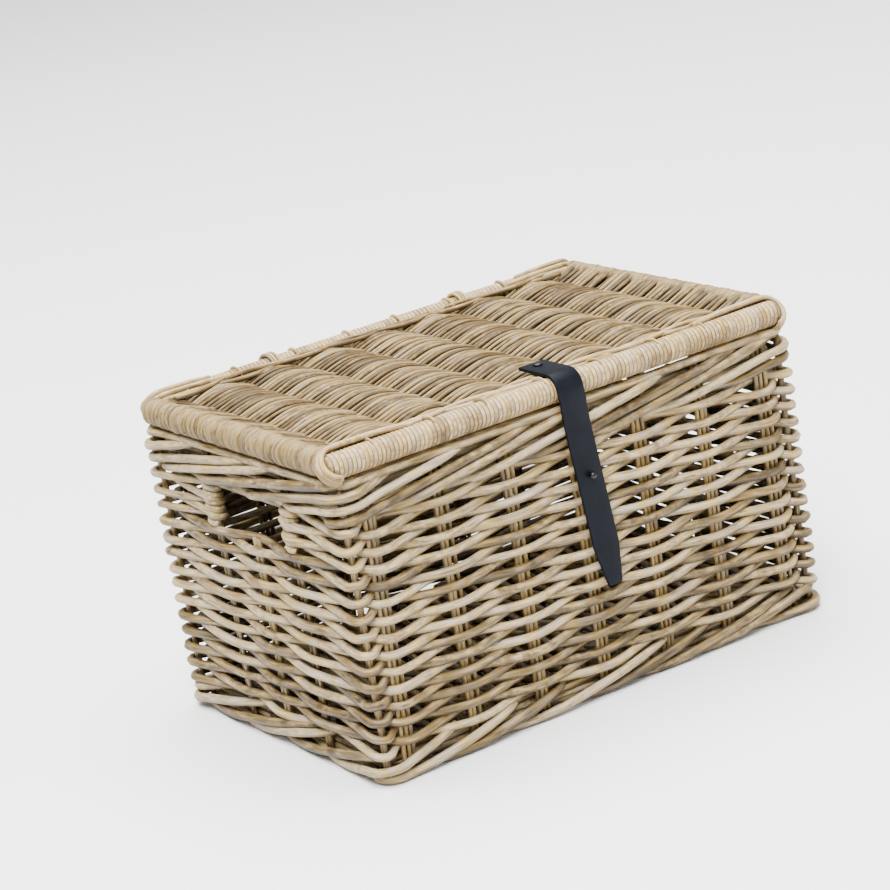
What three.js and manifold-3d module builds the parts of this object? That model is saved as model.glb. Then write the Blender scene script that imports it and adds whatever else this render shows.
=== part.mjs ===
// A lidded bicycle basket of woven rattan, closed by a leather strap on a stud.
// Millimetres, +Z up. X runs along the basket's length, the strap hangs on the -Y face,
// and z = 0 is the floor under the foot ring.
import * as THREE from 'three';
import { mergeVertices } from 'three/addons/utils/BufferGeometryUtils.js';
import Module from 'manifold-3d';

const wasm = await Module();
wasm.setup();

// Clearances
const TOUCH = 0.35;          // between pieces that rest against each other
const STAKE_CLEAR = 1.2;     // strand to the middle rod of a stake, where the strand bends over it
const POST_CLEAR = 1.0;      // strand to a corner post
const BORDER_CLEAR = 0.6;    // between the rows and the borders
const BEND_CLEAR = 0.9;      // strip to a rib or stick, where the strip bends over it
const HINGE_SLOT = 3.4;      // slot under the rim that the hinge loops pass through

// Walls
const WALL_LENGTH = 456;     // between the stake lines of the two ends
const WALL_DEPTH = 296;      // between the stake lines of the front and the back
const LOWER_ROWS = 22;       // rows that run all the way round, an even number
const HOLE_ROWS = 5;         // rows beside the hand holes, an odd number
const STRAND_RADIUS = 3.5;
const TURN_SLACK = 1.1;      // a strand that turns back at a hand hole stands off its stake by this share
const ROW_GAP = 0.4;
const LONG_STAKE_COUNT = 7;  // on the front and on the back
const END_STAKE_COUNT = 3;   // on each end; the hand hole lies between the outer two
const END_STAKE_STEP = 62;
const LONG_ROD_RADIUS = 1.8; // three thin rods side by side make a stake of a long wall
const LONG_ROD_COUNT = 3;
const END_ROD_RADIUS = 2.2;  // two thicker rods make a stake of an end
const END_ROD_COUNT = 2;
const POST_RADIUS = 3.0;
const CROSSING_ROOM = 14.4;  // from a corner post to the next stake, where two strands cross
const CORNER_LEAN = 5;       // a strand meets the stake beside a corner this far off its middle
const LEAN_CLEAR = 0.7;      // and this much further out

// Borders
const WALE_RADIUS = 3.6;     // strands of the three-rod wales at the rim and the foot
const WALE_RISE = 4.5;       // half the height between a wale's lower and upper outside strand
const WALE_GAP = 0.4;        // between the two rounds of the rim's wale
const RIM_ROUND_COUNT = 2;
const WALE_DROP = 8;         // half the length in which a strand drops behind a stake
const FOOT_RADIUS = 3.6;
const FOOT_CORNER = 16;
const STAKE_TOP_INSET = 4;   // stakes end this far under the rim

// Base
const BASE_STICK_RADIUS = 4.5;
const BASE_STICKS = 4;
const BASE_ROWS = 17;
const BASE_ROW_GAP = 1.4;
const BASE_STRIP_THICKNESS = 5;
const BASE_HEIGHT = 18;      // middle of the woven base over the floor

// Lid
const LID_LENGTH = 488;      // over the strands that wrap the end bars
const BAR_OVERHANG = 2;      // the front and back bars lie this far outside the walls' stake lines
const LONG_BAR_RADIUS = 12;
const LONG_BAR_BEVEL = 4;
const END_BAR_RADIUS = 8;
const END_BAR_BEVEL = 1.5;
const LID_RIBS = 7;
const LID_RIB_RADIUS = 4.5;
const ROD_BEVEL = 0.8;       // of ribs and base sticks
const LID_ROWS = 22;
const LID_EDGE_GAP = 3.75;   // between the outer rows and the long bars
const LID_ROW_GAP = 0.7;
const LID_STRIP_THICKNESS = 5.6;

// Hinge loops
const LOOP_WIDTH = 10;
const LOOP_THICKNESS = 2.4;

// Strap
const STRAP_WIDTH = 26;
const STRAP_THICKNESS = 3;
const STRAP_X = -5;          // the strap leaves the lid a little left of the middle
const STRAP_LEAN = THREE.MathUtils.degToRad(6);
const STRAP_ON_LID = 38;     // flat length behind the front bar's crest
const STRAP_TAIL = 178;      // hanging length under the bar
const STRAP_TIP_LENGTH = 36;
const STRAP_TIP_WIDTH = 14;
const STRAP_FOLD = 4;        // straight length of the hanging end next to its fold
const STUD_ROW = 23;         // the stud stands in the gap left by this row, which passes inside
const STUD_SHANK_RADIUS = 1.9;
const STUD_BALL_RADIUS = 3.2;
const STUD_HOLE_CLEAR = 0.9;
const RIVET_SHANK_RADIUS = 2;
const RIVET_HEAD_RADIUS = 4.6;
const RIVET_HEAD_HEIGHT = 1.6;
const RIVET_INSET = 10;
const DRILL_LENGTH = 20;     // of the tools that cut the strap's holes

// Sizes that follow from the ones above
const rowPitch = 2 * STRAND_RADIUS + ROW_GAP;
const halfLength = WALL_LENGTH / 2;
const halfDepth = WALL_DEPTH / 2;
const longStakeHalf = LONG_ROD_RADIUS * LONG_ROD_COUNT;
const longStakeReach = halfLength - POST_RADIUS - CROSSING_ROOM - longStakeHalf;
const longStakeStep = 2 * longStakeReach / (LONG_STAKE_COUNT - 1);
const waleHalf = WALE_RISE + WALE_RADIUS;
const waleStep = 2 * waleHalf + WALE_GAP;
const footTop = 2 * FOOT_RADIUS;
const footWaleZ = footTop + TOUCH + waleHalf;
const firstRowZ = footWaleZ + waleHalf + BORDER_CLEAR + STRAND_RADIUS;
const rowZ = (row) => firstRowZ + rowPitch * row;
const lastRowTop = rowZ(LOWER_ROWS + HOLE_ROWS - 1) + STRAND_RADIUS;
const rimWaleZ = lastRowTop + HINGE_SLOT + waleHalf;
const rimTop = rimWaleZ + waleStep * (RIM_ROUND_COUNT - 1) + waleHalf;
const stakeTop = rimTop - STAKE_TOP_INSET;
const holeSill = rowZ(LOWER_ROWS - 1) + STRAND_RADIUS;
const stakeOffset = (radius) => LONG_ROD_RADIUS + radius + STAKE_CLEAR;
const waleReach = stakeOffset(WALE_RADIUS) + WALE_RADIUS + LEAN_CLEAR;
const lidHalfThickness = LID_STRIP_THICKNESS / 2;
const wrapRadius = (END_BAR_RADIUS + TOUCH + lidHalfThickness) / Math.cos(Math.PI / 8);
const lidZ = rimTop + TOUCH + wrapRadius + lidHalfThickness;
const endBarX = LID_LENGTH / 2 - wrapRadius - lidHalfThickness;
const longBarY = halfDepth + BAR_OVERHANG;
const stripInside = longBarY - LONG_BAR_RADIUS - TOUCH;
const lidRowPitch = 2 * (stripInside - LID_EDGE_GAP) / LID_ROWS;
const loopGrip = LONG_BAR_RADIUS + TOUCH + LOOP_THICKNESS;

// Finishes
const rattan = (color) => new THREE.MeshStandardMaterial({ color, roughness: 0.72, metalness: 0 });
const GREY_CREAM = 0xb9a88a;
const HONEY = 0xa98d62;
const TAN = 0x94774c;
const PALE = 0xc7b797;
const LEATHER = new THREE.MeshStandardMaterial({ color: 0x1d2028, roughness: 0.55, metalness: 0 });
const DARK_METAL = new THREE.MeshStandardMaterial({ color: 0x2b2c30, roughness: 0.3, metalness: 0.9 });

const basket = new THREE.Group();

function addPiece(name, geometry, material) {
  const mesh = new THREE.Mesh(geometry, material);
  mesh.name = name;
  basket.add(mesh);
  return mesh;
}

function turnOutward(geometry) {
  // Flips the winding of a closed mesh whose signed volume is negative.
  const p = geometry.attributes.position;
  const index = geometry.index.array;
  const [a, b, c] = [new THREE.Vector3(), new THREE.Vector3(), new THREE.Vector3()];
  let volume = 0;
  for (let i = 0; i < index.length; i += 3) {
    a.fromBufferAttribute(p, index[i]);
    b.fromBufferAttribute(p, index[i + 1]);
    c.fromBufferAttribute(p, index[i + 2]);
    volume += a.dot(b.cross(c));
  }
  if (volume < 0) {
    for (let i = 0; i < index.length; i += 3) {
      [index[i], index[i + 1]] = [index[i + 1], index[i]];
    }
  }
  return geometry;
}

const ROUND = [[1, 0], [0, 1], [-1, 0], [0, -1]];
const FLAT = [[1, 1], [-1, 1], [-1, -1], [1, -1]];

function sweep(points, axis, corners, thickness, width, closed = false) {
  // Carries a four-cornered section along points, mitred at every bend. The section's width lies
  // along axis, its thickness across the path; width may be one number or one for each point.
  const count = points.length;
  const position = [];
  const index = [];
  const flat = (v) => v.clone().addScaledVector(axis, -v.dot(axis)).normalize();
  for (let i = 0; i < count; i++) {
    const before = closed ? points[(i + count - 1) % count] : points[Math.max(i - 1, 0)];
    const after = closed ? points[(i + 1) % count] : points[Math.min(i + 1, count - 1)];
    const arrive = before === points[i] ? null : flat(points[i].clone().sub(before));
    const leave = after === points[i] ? null : flat(after.clone().sub(points[i]));
    const along = flat((arrive ?? leave).clone().add(leave ?? arrive));
    const across = along.clone().cross(axis);
    const mitre = 1 / along.dot(leave ?? arrive);
    const half = Array.isArray(width) ? width[i] : width;
    for (const [a, b] of corners) {
      const corner = points[i].clone().addScaledVector(across, a * thickness * mitre);
      position.push(...corner.addScaledVector(axis, b * half).toArray());
    }
  }
  const sides = corners.length;
  for (let i = 0; i < (closed ? count : count - 1); i++) {
    for (let k = 0; k < sides; k++) {
      const here = i * sides;
      const next = ((i + 1) % count) * sides;
      const turn = (k + 1) % sides;
      index.push(here + k, here + turn, next + turn, here + k, next + turn, next + k);
    }
  }
  if (!closed) {
    const end = (count - 1) * sides;
    for (let k = 1; k < sides - 1; k++) {
      index.push(0, k + 1, k, end, end + k, end + k + 1);
    }
  }
  const geometry = new THREE.BufferGeometry();
  geometry.setAttribute('position', new THREE.Float32BufferAttribute(position, 3));
  geometry.setIndex(index);
  return turnOutward(geometry);
}

const X_AXIS = new THREE.Vector3(1, 0, 0);
const Y_AXIS = new THREE.Vector3(0, 1, 0);
const Z_AXIS = new THREE.Vector3(0, 0, 1);

function roundRod(length, radius, sides, bevel) {
  // A rod along Y with softened ends, turned on a lathe.
  const half = length / 2;
  const profile = [
    new THREE.Vector2(0, -half),
    new THREE.Vector2(radius - bevel, -half),
    new THREE.Vector2(radius, -half + bevel),
    new THREE.Vector2(radius, half - bevel),
    new THREE.Vector2(radius - bevel, half),
    new THREE.Vector2(0, half),
  ];
  return new THREE.LatheGeometry(profile, sides);
}

// The stations that every strand passes on its way round, counter-clockwise from the front left
// corner: a corner post, the stakes of the front, a corner post, the stakes of an end, and so on.
const FRONT = -Math.PI / 2;
const RIGHT = 0;
const BACK = Math.PI / 2;
const LEFT = Math.PI;

function wallStations(facing, count, step, distance, rods, rodRadius, nearCorner) {
  const normal = new THREE.Vector2(Math.cos(facing), Math.sin(facing));
  const along = new THREE.Vector2(-normal.y, normal.x);
  return Array.from({ length: count }, (_, i) => {
    const place = (i - (count - 1) / 2) * step;
    const isFirst = nearCorner && i === 0;
    const isLast = nearCorner && i === count - 1;
    return {
      centre: normal.clone().multiplyScalar(distance).addScaledVector(along, place),
      normal, along, rods, rodRadius, facing,
      lean: isFirst ? -1 : isLast ? 1 : 0,
    };
  });
}

// How far a strand hugs a corner post on the side of its long wall and of its end.
const longArc = THREE.MathUtils.degToRad(65);
const shortArc = THREE.MathUtils.degToRad(30);

function cornerStation(x, y, entersFromLongWall) {
  const diagonal = Math.atan2(y, x / Math.abs(x) * Math.abs(y));
  const normal = new THREE.Vector2(Math.cos(diagonal), Math.sin(diagonal));
  return {
    centre: new THREE.Vector2(x, y),
    normal, along: new THREE.Vector2(-normal.y, normal.x), corner: true,
    arcStart: diagonal - (entersFromLongWall ? longArc : shortArc),
    arcEnd: diagonal + (entersFromLongWall ? shortArc : longArc),
  };
}

const longWall = (facing) =>
  wallStations(facing, LONG_STAKE_COUNT, longStakeStep, halfDepth, LONG_ROD_COUNT, LONG_ROD_RADIUS, true);
const endWall = (facing) =>
  wallStations(facing, END_STAKE_COUNT, END_STAKE_STEP, halfLength, END_ROD_COUNT, END_ROD_RADIUS, false);
const stations = [
  cornerStation(-halfLength, -halfDepth, false), ...longWall(FRONT),
  cornerStation(halfLength, -halfDepth, true), ...endWall(RIGHT),
  cornerStation(halfLength, halfDepth, false), ...longWall(BACK),
  cornerStation(-halfLength, halfDepth, true), ...endWall(LEFT),
];
const ROUND_STATIONS = stations.length;
const rightCorner = LONG_STAKE_COUNT + 1;
const backCorner = rightCorner + END_STAKE_COUNT + 1;
const leftCorner = backCorner + LONG_STAKE_COUNT + 1;
const holeFront = { from: ROUND_STATIONS - 1, to: rightCorner + 1 };
const holeBack = { from: backCorner - 1, to: leftCorner + 1 };

function hug(station, side, radius) {
  // Plan points of a strand that passes a station outside (side 1) or inside (side -1).
  if (!station.corner) {
    const clear = STAKE_CLEAR + (station.lean ? LEAN_CLEAR : 0);
    const offset = side * (station.rodRadius + radius + clear);
    return [station.centre.clone().addScaledVector(station.normal, offset)
      .addScaledVector(station.along, station.lean * CORNER_LEAN)];
  }
  const reach = POST_RADIUS + radius + POST_CLEAR;
  if (side < 0) {
    const inside = reach + STRAND_RADIUS / 2;
    return [station.centre.clone().addScaledVector(station.normal, -inside)];
  }
  return [0, 0.5, 1].map((share) => {
    const angle = THREE.MathUtils.lerp(station.arcStart, station.arcEnd, share);
    const spoke = new THREE.Vector2(Math.cos(angle), Math.sin(angle));
    return station.centre.clone().addScaledVector(spoke, reach);
  });
}

// A strand that goes round and round climbs to its next round on the back wall, where its joins
// are out of sight.
const climbFrom = backCorner + (LONG_STAKE_COUNT - 1) / 2;
const climbTo = climbFrom + 2;
const climb = (i) => THREE.MathUtils.clamp((i - climbFrom) / (climbTo - climbFrom), 0, 1);

function spiralSteps(firstRound, rounds) {
  // Every station passed from the end of one climb to the middle of the last.
  const steps = [];
  const start = climbTo - ROUND_STATIONS;
  const end = (rounds - 1) * ROUND_STATIONS + climbFrom;
  for (let s = start; s <= end; s++) {
    const round = Math.floor(s / ROUND_STATIONS);
    const i = s - round * ROUND_STATIONS;
    steps.push({ i, round: firstRound + round + climb(i) });
  }
  return steps;
}

// Wall weavers: two strands chase each other round the basket. The first passes outside the even
// stations and the corners, the second passes outside the odd ones, one row higher.
function wallWeaver(firstRound, rounds, second) {
  const points = [];
  for (const { i, round } of spiralSteps(firstRound, rounds)) {
    const side = (i % 2 === 0) === !second ? 1 : -1;
    const z = rowZ(2 * round + (second ? 1 : 0));
    for (const p of hug(stations[i], side, STRAND_RADIUS)) {
      points.push(new THREE.Vector3(p.x, p.y, z));
    }
  }
  return sweep(points, Z_AXIS, ROUND, STRAND_RADIUS, STRAND_RADIUS);
}
const roundsEach = LOWER_ROWS / 2;
const lowerRounds = Math.ceil(roundsEach / 2);
for (const [letter, second, color] of [['a', false, GREY_CREAM], ['b', true, PALE]]) {
  addPiece(`wall_weaver_${letter}_lower`, wallWeaver(0, lowerRounds, second), rattan(color));
  addPiece(`wall_weaver_${letter}_upper`,
    wallWeaver(lowerRounds, roundsEach - lowerRounds, second), rattan(color));
}

// Hole weavers: beside the hand holes one strand runs to and fro, and turns back round the stakes
// at the holes' edges.
function holeWeaver({ from, to }) {
  const route = [];
  for (let i = from; i % ROUND_STATIONS !== to; i++) {
    route.push(i % ROUND_STATIONS);
  }
  route.push(to);
  const points = [];
  const turnReach = (station) => station.rods * station.rodRadius + TOUCH + STRAND_RADIUS;
  for (let row = 0; row < HOLE_ROWS; row++) {
    const z = rowZ(LOWER_ROWS + row);
    const forward = row % 2 === 0;
    const order = forward ? route : [...route].reverse();
    for (const i of order) {
      const side = (i % 2 === 0) === (row % 2 === 0) ? 1 : -1;
      const plan = hug(stations[i], side, STRAND_RADIUS);
      for (const p of forward ? plan : plan.reverse()) {
        points.push(new THREE.Vector3(p.x, p.y, z));
      }
    }
    if (row < HOLE_ROWS - 1) {
      const station = stations[order[order.length - 1]];
      const side = (order[order.length - 1] % 2 === 0) === (row % 2 === 0) ? 1 : -1;
      const reach = turnReach(station);
      for (const [share, out] of [[0.25, 0.75 * side], [0.5, 0], [0.75, -0.75 * side]]) {
        const p = station.centre.clone()
          .addScaledVector(station.along, (forward ? 1 : -1) * reach * Math.sqrt(1 - out * out) * TURN_SLACK)
          .addScaledVector(station.normal, out * (station.rodRadius + STRAND_RADIUS + STAKE_CLEAR));
        points.push(new THREE.Vector3(p.x, p.y, z + rowPitch * share));
      }
    }
  }
  return sweep(points, Z_AXIS, ROUND, STRAND_RADIUS, STRAND_RADIUS);
}
addPiece('front_hole_weaver', holeWeaver(holeFront), rattan(GREY_CREAM));
addPiece('back_hole_weaver', holeWeaver(holeBack), rattan(GREY_CREAM));

// Waling: three strands pass outside two stations, rising, then drop inside the third.
function walePoints(station, phase, z) {
  if (phase === 0) {
    const drop = station.corner ? WALE_DROP / 3 : station.lean ? CORNER_LEAN : WALE_DROP;
    const middle = station.corner
      ? hug(station, -1, WALE_RADIUS)[0]
      : station.centre.clone().addScaledVector(station.normal,
        -(station.rodRadius + WALE_RADIUS + STAKE_CLEAR + (station.lean ? LEAN_CLEAR : 0)));
    return [-1, 1].map((end) => {
      const p = middle.clone().addScaledVector(station.along, end * drop);
      return new THREE.Vector3(p.x, p.y, z - end * WALE_RISE);
    });
  }
  const rise = phase === 1 ? -WALE_RISE : WALE_RISE;
  return hug(station, 1, WALE_RADIUS).map((p) => new THREE.Vector3(p.x, p.y, z + rise));
}
for (let strand = 0; strand < 3; strand++) {
  const rim = [];
  for (const { i, round } of spiralSteps(0, RIM_ROUND_COUNT)) {
    rim.push(...walePoints(stations[i], (i + strand) % 3, rimWaleZ + waleStep * round));
  }
  const rimStrand = sweep(rim, Z_AXIS, ROUND, WALE_RADIUS, WALE_RADIUS);
  addPiece(`rim_wale_${strand + 1}`, rimStrand, rattan(HONEY));
  const foot = stations.flatMap((station, i) => walePoints(station, (i + strand) % 3, footWaleZ));
  const footStrand = sweep(foot, Z_AXIS, ROUND, WALE_RADIUS, WALE_RADIUS, true);
  addPiece(`foot_wale_${strand + 1}`, footStrand, rattan(HONEY));
}

// Foot ring: one strand laid under the wall, flat where the basket stands on it.
{
  const points = [];
  for (const [x, y, start] of [[-1, -1, LEFT], [1, -1, FRONT], [1, 1, RIGHT], [-1, 1, BACK]]) {
    for (const share of [0, 1 / 3, 2 / 3, 1]) {
      const angle = start + share * Math.PI / 2;
      points.push(new THREE.Vector3(
        x * (halfLength - FOOT_CORNER) + FOOT_CORNER * Math.cos(angle),
        y * (halfDepth - FOOT_CORNER) + FOOT_CORNER * Math.sin(angle), FOOT_RADIUS));
    }
  }
  const section = [[1, 0], [0.5, 1], [-0.5, 1], [-1, 0], [-0.5, -1], [0.5, -1]];
  addPiece('foot_ring', sweep(points, Z_AXIS, section, FOOT_RADIUS, FOOT_RADIUS, true), rattan(TAN));
}

// Stakes and corner posts
const LOBE_ANGLE = THREE.MathUtils.degToRad(35);

function stakeShape(rods, radius) {
  // Rods side by side: each adds a bump to both faces of the outline.
  const shape = new THREE.Shape();
  const lobe = [-LOBE_ANGLE, LOBE_ANGLE];
  const places = Array.from({ length: rods }, (_, i) => (i - (rods - 1) / 2) * 2 * radius);
  const outline = [[-rods * radius, 0]];
  for (const place of places) {
    outline.push(...lobe.map((a) => [place + radius * Math.sin(a), radius * Math.cos(a)]));
  }
  outline.push([rods * radius, 0]);
  for (const place of [...places].reverse()) {
    outline.push(...[...lobe].reverse().map((a) => [place + radius * Math.sin(a), -radius * Math.cos(a)]));
  }
  outline.forEach(([x, y], i) => (i ? shape.lineTo(x, y) : shape.moveTo(x, y)));
  return shape;
}
const wallNames = { [FRONT]: 'front', [RIGHT]: 'right', [BACK]: 'back', [LEFT]: 'left' };
const wallCounts = {};
const stakeFoot = footTop + TOUCH;
stations.forEach((station) => {
  if (station.corner) {
    const end = station.centre.y < 0 ? 'front' : 'back';
    const side = station.centre.x < 0 ? 'left' : 'right';
    const height = stakeTop - stakeFoot;
    const post = addPiece(`corner_post_${end}_${side}`,
      new THREE.CylinderGeometry(POST_RADIUS, POST_RADIUS, height, 8), rattan(TAN));
    post.rotation.x = Math.PI / 2;
    post.position.set(station.centre.x, station.centre.y, stakeFoot + height / 2);
    return;
  }
  const wall = wallNames[station.facing];
  wallCounts[wall] = (wallCounts[wall] ?? 0) + 1;
  const underHole = station.rods === END_ROD_COUNT && wallCounts[wall] === (END_STAKE_COUNT + 1) / 2;
  const height = (underHole ? holeSill : stakeTop) - stakeFoot;
  const stake = addPiece(`${wall}_stake_${wallCounts[wall]}`, new THREE.ExtrudeGeometry(
    stakeShape(station.rods, station.rodRadius), { depth: height, bevelEnabled: false }), rattan(TAN));
  stake.rotation.z = station.facing + Math.PI / 2;
  stake.position.set(station.centre.x, station.centre.y, stakeFoot);
});

// A mat: one strip runs to and fro over and under the bars, and turns round the outer bars.
function mat({ bars, rows, pitch, gap, thickness, place, axis }) {
  const half = thickness / 2;
  const points = [];
  const lastBar = bars.length - 1;
  for (let row = 0; row < rows; row++) {
    const forward = row % 2 === 0;
    const shift = (row - (rows - 1) / 2) * pitch;
    const order = bars.map((_, k) => (forward ? k : lastBar - k));
    for (const k of order) {
      const side = (k + row) % 2 === 0 ? 1 : -1;
      const isOuter = k === 0 || k === lastBar;
      const reach = isOuter
        ? (bars[k].radius + TOUCH + half) / Math.cos(Math.PI / 8)
        : bars[k].radius + BEND_CLEAR + half;
      points.push(place(bars[k].at, side * reach, shift));
      if (k === order[lastBar] && row < rows - 1) {
        const outward = Math.sign(bars[k].at);
        for (const share of [0.25, 0.5, 0.75]) {
          const angle = Math.PI * (0.5 - share);
          points.push(place(bars[k].at + outward * reach * Math.cos(angle),
            side * reach * Math.sin(angle), shift + pitch * share));
        }
      }
    }
  }
  return sweep(points, axis, FLAT, half, (pitch - gap) / 2);
}

// Base: sticks along the basket, and a mat woven across them inside the foot wales.
const baseHalf = BASE_STRIP_THICKNESS / 2;
const baseWrap = (BASE_STICK_RADIUS + TOUCH + baseHalf) / Math.cos(Math.PI / 8) + baseHalf * 1.1;
const outerStickY = halfDepth - waleReach - TOUCH - baseWrap;
const stickLength = 2 * (halfLength - waleReach - TOUCH);
const baseRowPitch = (stickLength - 2 * TOUCH) / BASE_ROWS;
const stickPlaces = Array.from({ length: BASE_STICKS },
  (_, i) => outerStickY * (2 * i / (BASE_STICKS - 1) - 1));
stickPlaces.forEach((y, i) => {
  const rod = roundRod(stickLength, BASE_STICK_RADIUS, 8, ROD_BEVEL);
  const stick = addPiece(`base_stick_${i + 1}`, rod, rattan(TAN));
  stick.rotation.z = Math.PI / 2;
  stick.position.set(0, y, BASE_HEIGHT);
});
addPiece('base_weaver', mat({
  bars: stickPlaces.map((at) => ({ at, radius: BASE_STICK_RADIUS })),
  rows: BASE_ROWS, pitch: baseRowPitch, gap: BASE_ROW_GAP, thickness: BASE_STRIP_THICKNESS,
  place: (u, v, w) => new THREE.Vector3(w, u, BASE_HEIGHT + v), axis: X_AXIS,
}), rattan(HONEY));

// Lid: two long bars, two end bars and seven ribs, and a mat woven along the lid.
const ribStep = 2 * endBarX / (LID_RIBS + 1);
const ribPlaces = Array.from({ length: LID_RIBS }, (_, i) => (i - (LID_RIBS - 1) / 2) * ribStep);
for (const [name, side] of [['front', -1], ['back', 1]]) {
  const length = 2 * (endBarX + END_BAR_RADIUS);
  const rod = roundRod(length, LONG_BAR_RADIUS, 14, LONG_BAR_BEVEL);
  const bar = addPiece(`lid_${name}_bar`, rod, rattan(PALE));
  bar.rotation.z = Math.PI / 2;
  bar.position.set(0, side * longBarY, lidZ);
}
const crossLength = 2 * stripInside;
const ribLength = 2 * (longBarY - loopGrip - TOUCH);
for (const [name, side] of [['left', -1], ['right', 1]]) {
  const rod = roundRod(crossLength, END_BAR_RADIUS, 14, END_BAR_BEVEL);
  const bar = addPiece(`lid_${name}_bar`, rod, rattan(TAN));
  bar.position.set(side * endBarX, 0, lidZ);
}
ribPlaces.forEach((x, i) => {
  const rib = addPiece(`lid_rib_${i + 1}`, roundRod(ribLength, LID_RIB_RADIUS, 8, ROD_BEVEL), rattan(TAN));
  rib.position.set(x, 0, lidZ);
});
addPiece('lid_weaver', mat({
  bars: [-endBarX, ...ribPlaces, endBarX].map((at) => ({
    at, radius: Math.abs(at) === endBarX ? END_BAR_RADIUS : LID_RIB_RADIUS,
  })),
  rows: LID_ROWS, pitch: lidRowPitch, gap: LID_ROW_GAP, thickness: LID_STRIP_THICKNESS,
  place: (u, v, w) => new THREE.Vector3(u, w, lidZ + v), axis: Y_AXIS,
}), rattan(GREY_CREAM));

// Hinge loops: a band round the lid's back bar and the rim, through the slot under the rim wale.
function loopOutline(grow) {
  const radius = LONG_BAR_RADIUS + TOUCH + grow;
  const bar = new THREE.Vector2(longBarY, lidZ);
  const inner = halfDepth - waleReach - TOUCH - grow;
  const outer = halfDepth + waleReach + TOUCH + grow;
  const under = rimWaleZ - waleHalf - TOUCH - grow;
  const over = rimTop + TOUCH + grow;
  const tangent = (y, z, side) => {
    const to = new THREE.Vector2(y, z).sub(bar);
    return to.angle() + side * Math.acos(radius / to.length());
  };
  const start = tangent(outer, over, 1);
  const end = tangent(inner, under, -1);
  const sweepAngle = THREE.MathUtils.euclideanModulo(end - start, 2 * Math.PI);
  const points = [[inner, under], [outer, under], [outer, over]].map(([y, z]) => new THREE.Vector2(y, z));
  const steps = 8;
  for (let i = 0; i <= steps; i++) {
    const angle = start + sweepAngle * i / steps;
    const reach = radius / Math.cos(sweepAngle / steps / 2);
    points.push(new THREE.Vector2(Math.cos(angle), Math.sin(angle)).multiplyScalar(reach).add(bar));
  }
  return points;
}
const loopShape = new THREE.Shape(loopOutline(LOOP_THICKNESS));
loopShape.holes.push(new THREE.Path(loopOutline(0)));
const loopX = 1.5 * longStakeStep;
for (const [name, side] of [['left', -1], ['right', 1]]) {
  const loop = addPiece(`hinge_loop_${name}`,
    new THREE.ExtrudeGeometry(loopShape, { depth: LOOP_WIDTH, bevelEnabled: false }), rattan(PALE));
  loop.rotation.set(Math.PI / 2, Math.PI / 2, 0);
  loop.position.x = side * loopX - LOOP_WIDTH / 2;
}

function toSolid(geometry) {
  const bare = geometry.index ? geometry.clone() : geometry.toNonIndexed();
  bare.deleteAttribute('normal');
  bare.deleteAttribute('uv');
  const welded = mergeVertices(bare, 1e-4);
  return new wasm.Manifold(new wasm.Mesh({
    numProp: 3,
    vertProperties: new Float32Array(welded.attributes.position.array),
    triVerts: new Uint32Array(welded.index.array),
  }));
}

function cut(geometry, tool) {
  const result = toSolid(geometry).subtract(toSolid(tool)).getMesh();
  const made = new THREE.BufferGeometry();
  made.setAttribute('position', new THREE.BufferAttribute(new Float32Array(result.vertProperties), 3));
  made.setIndex(new THREE.BufferAttribute(new Uint32Array(result.triVerts), 1));
  return made;
}

// Strap: the lid end lies behind the front bar's crest, is riveted through, and folds over the bar.
// The hanging end swings on that fold and buttons on the stud.
const strapHalf = STRAP_THICKNESS / 2;
const strapRadius = LONG_BAR_RADIUS + TOUCH + strapHalf;
const foldY = -(longBarY + strapRadius);
const anchorPath = [new THREE.Vector3(STRAP_X, -longBarY + STRAP_ON_LID, lidZ + strapRadius)];
for (let i = 0; i <= 4; i++) {
  const angle = Math.PI / 2 * (1 - i / 4);
  const reach = strapRadius / Math.cos(Math.PI / 16);
  const y = -longBarY - reach * Math.cos(angle);
  anchorPath.push(new THREE.Vector3(STRAP_X, y, lidZ + reach * Math.sin(angle)));
}
const anchor = sweep(anchorPath, X_AXIS, FLAT, strapHalf, STRAP_WIDTH / 2);
const rivetY = -longBarY + STRAP_ON_LID - RIVET_INSET;
const rivetHoleRadius = RIVET_SHANK_RADIUS + TOUCH;
const rivetHole = new THREE.CylinderGeometry(rivetHoleRadius, rivetHoleRadius, DRILL_LENGTH, 12)
  .rotateX(Math.PI / 2).translate(STRAP_X, rivetY, lidZ + strapRadius);
addPiece('strap_anchor', cut(anchor, rivetHole), LEATHER);

const rivetSeat = STRAP_THICKNESS + TOUCH;
const rivet = addPiece('strap_rivet', new THREE.LatheGeometry([
  new THREE.Vector2(0, -1),
  new THREE.Vector2(RIVET_SHANK_RADIUS, -1),
  new THREE.Vector2(RIVET_SHANK_RADIUS, rivetSeat),
  new THREE.Vector2(RIVET_HEAD_RADIUS, rivetSeat),
  new THREE.Vector2(RIVET_HEAD_RADIUS * 0.7, rivetSeat + RIVET_HEAD_HEIGHT * 0.8),
  new THREE.Vector2(0, rivetSeat + RIVET_HEAD_HEIGHT),
], 12), DARK_METAL);
rivet.rotation.x = Math.PI / 2;
rivet.position.set(STRAP_X, rivetY, lidZ + strapRadius - strapHalf);

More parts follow.
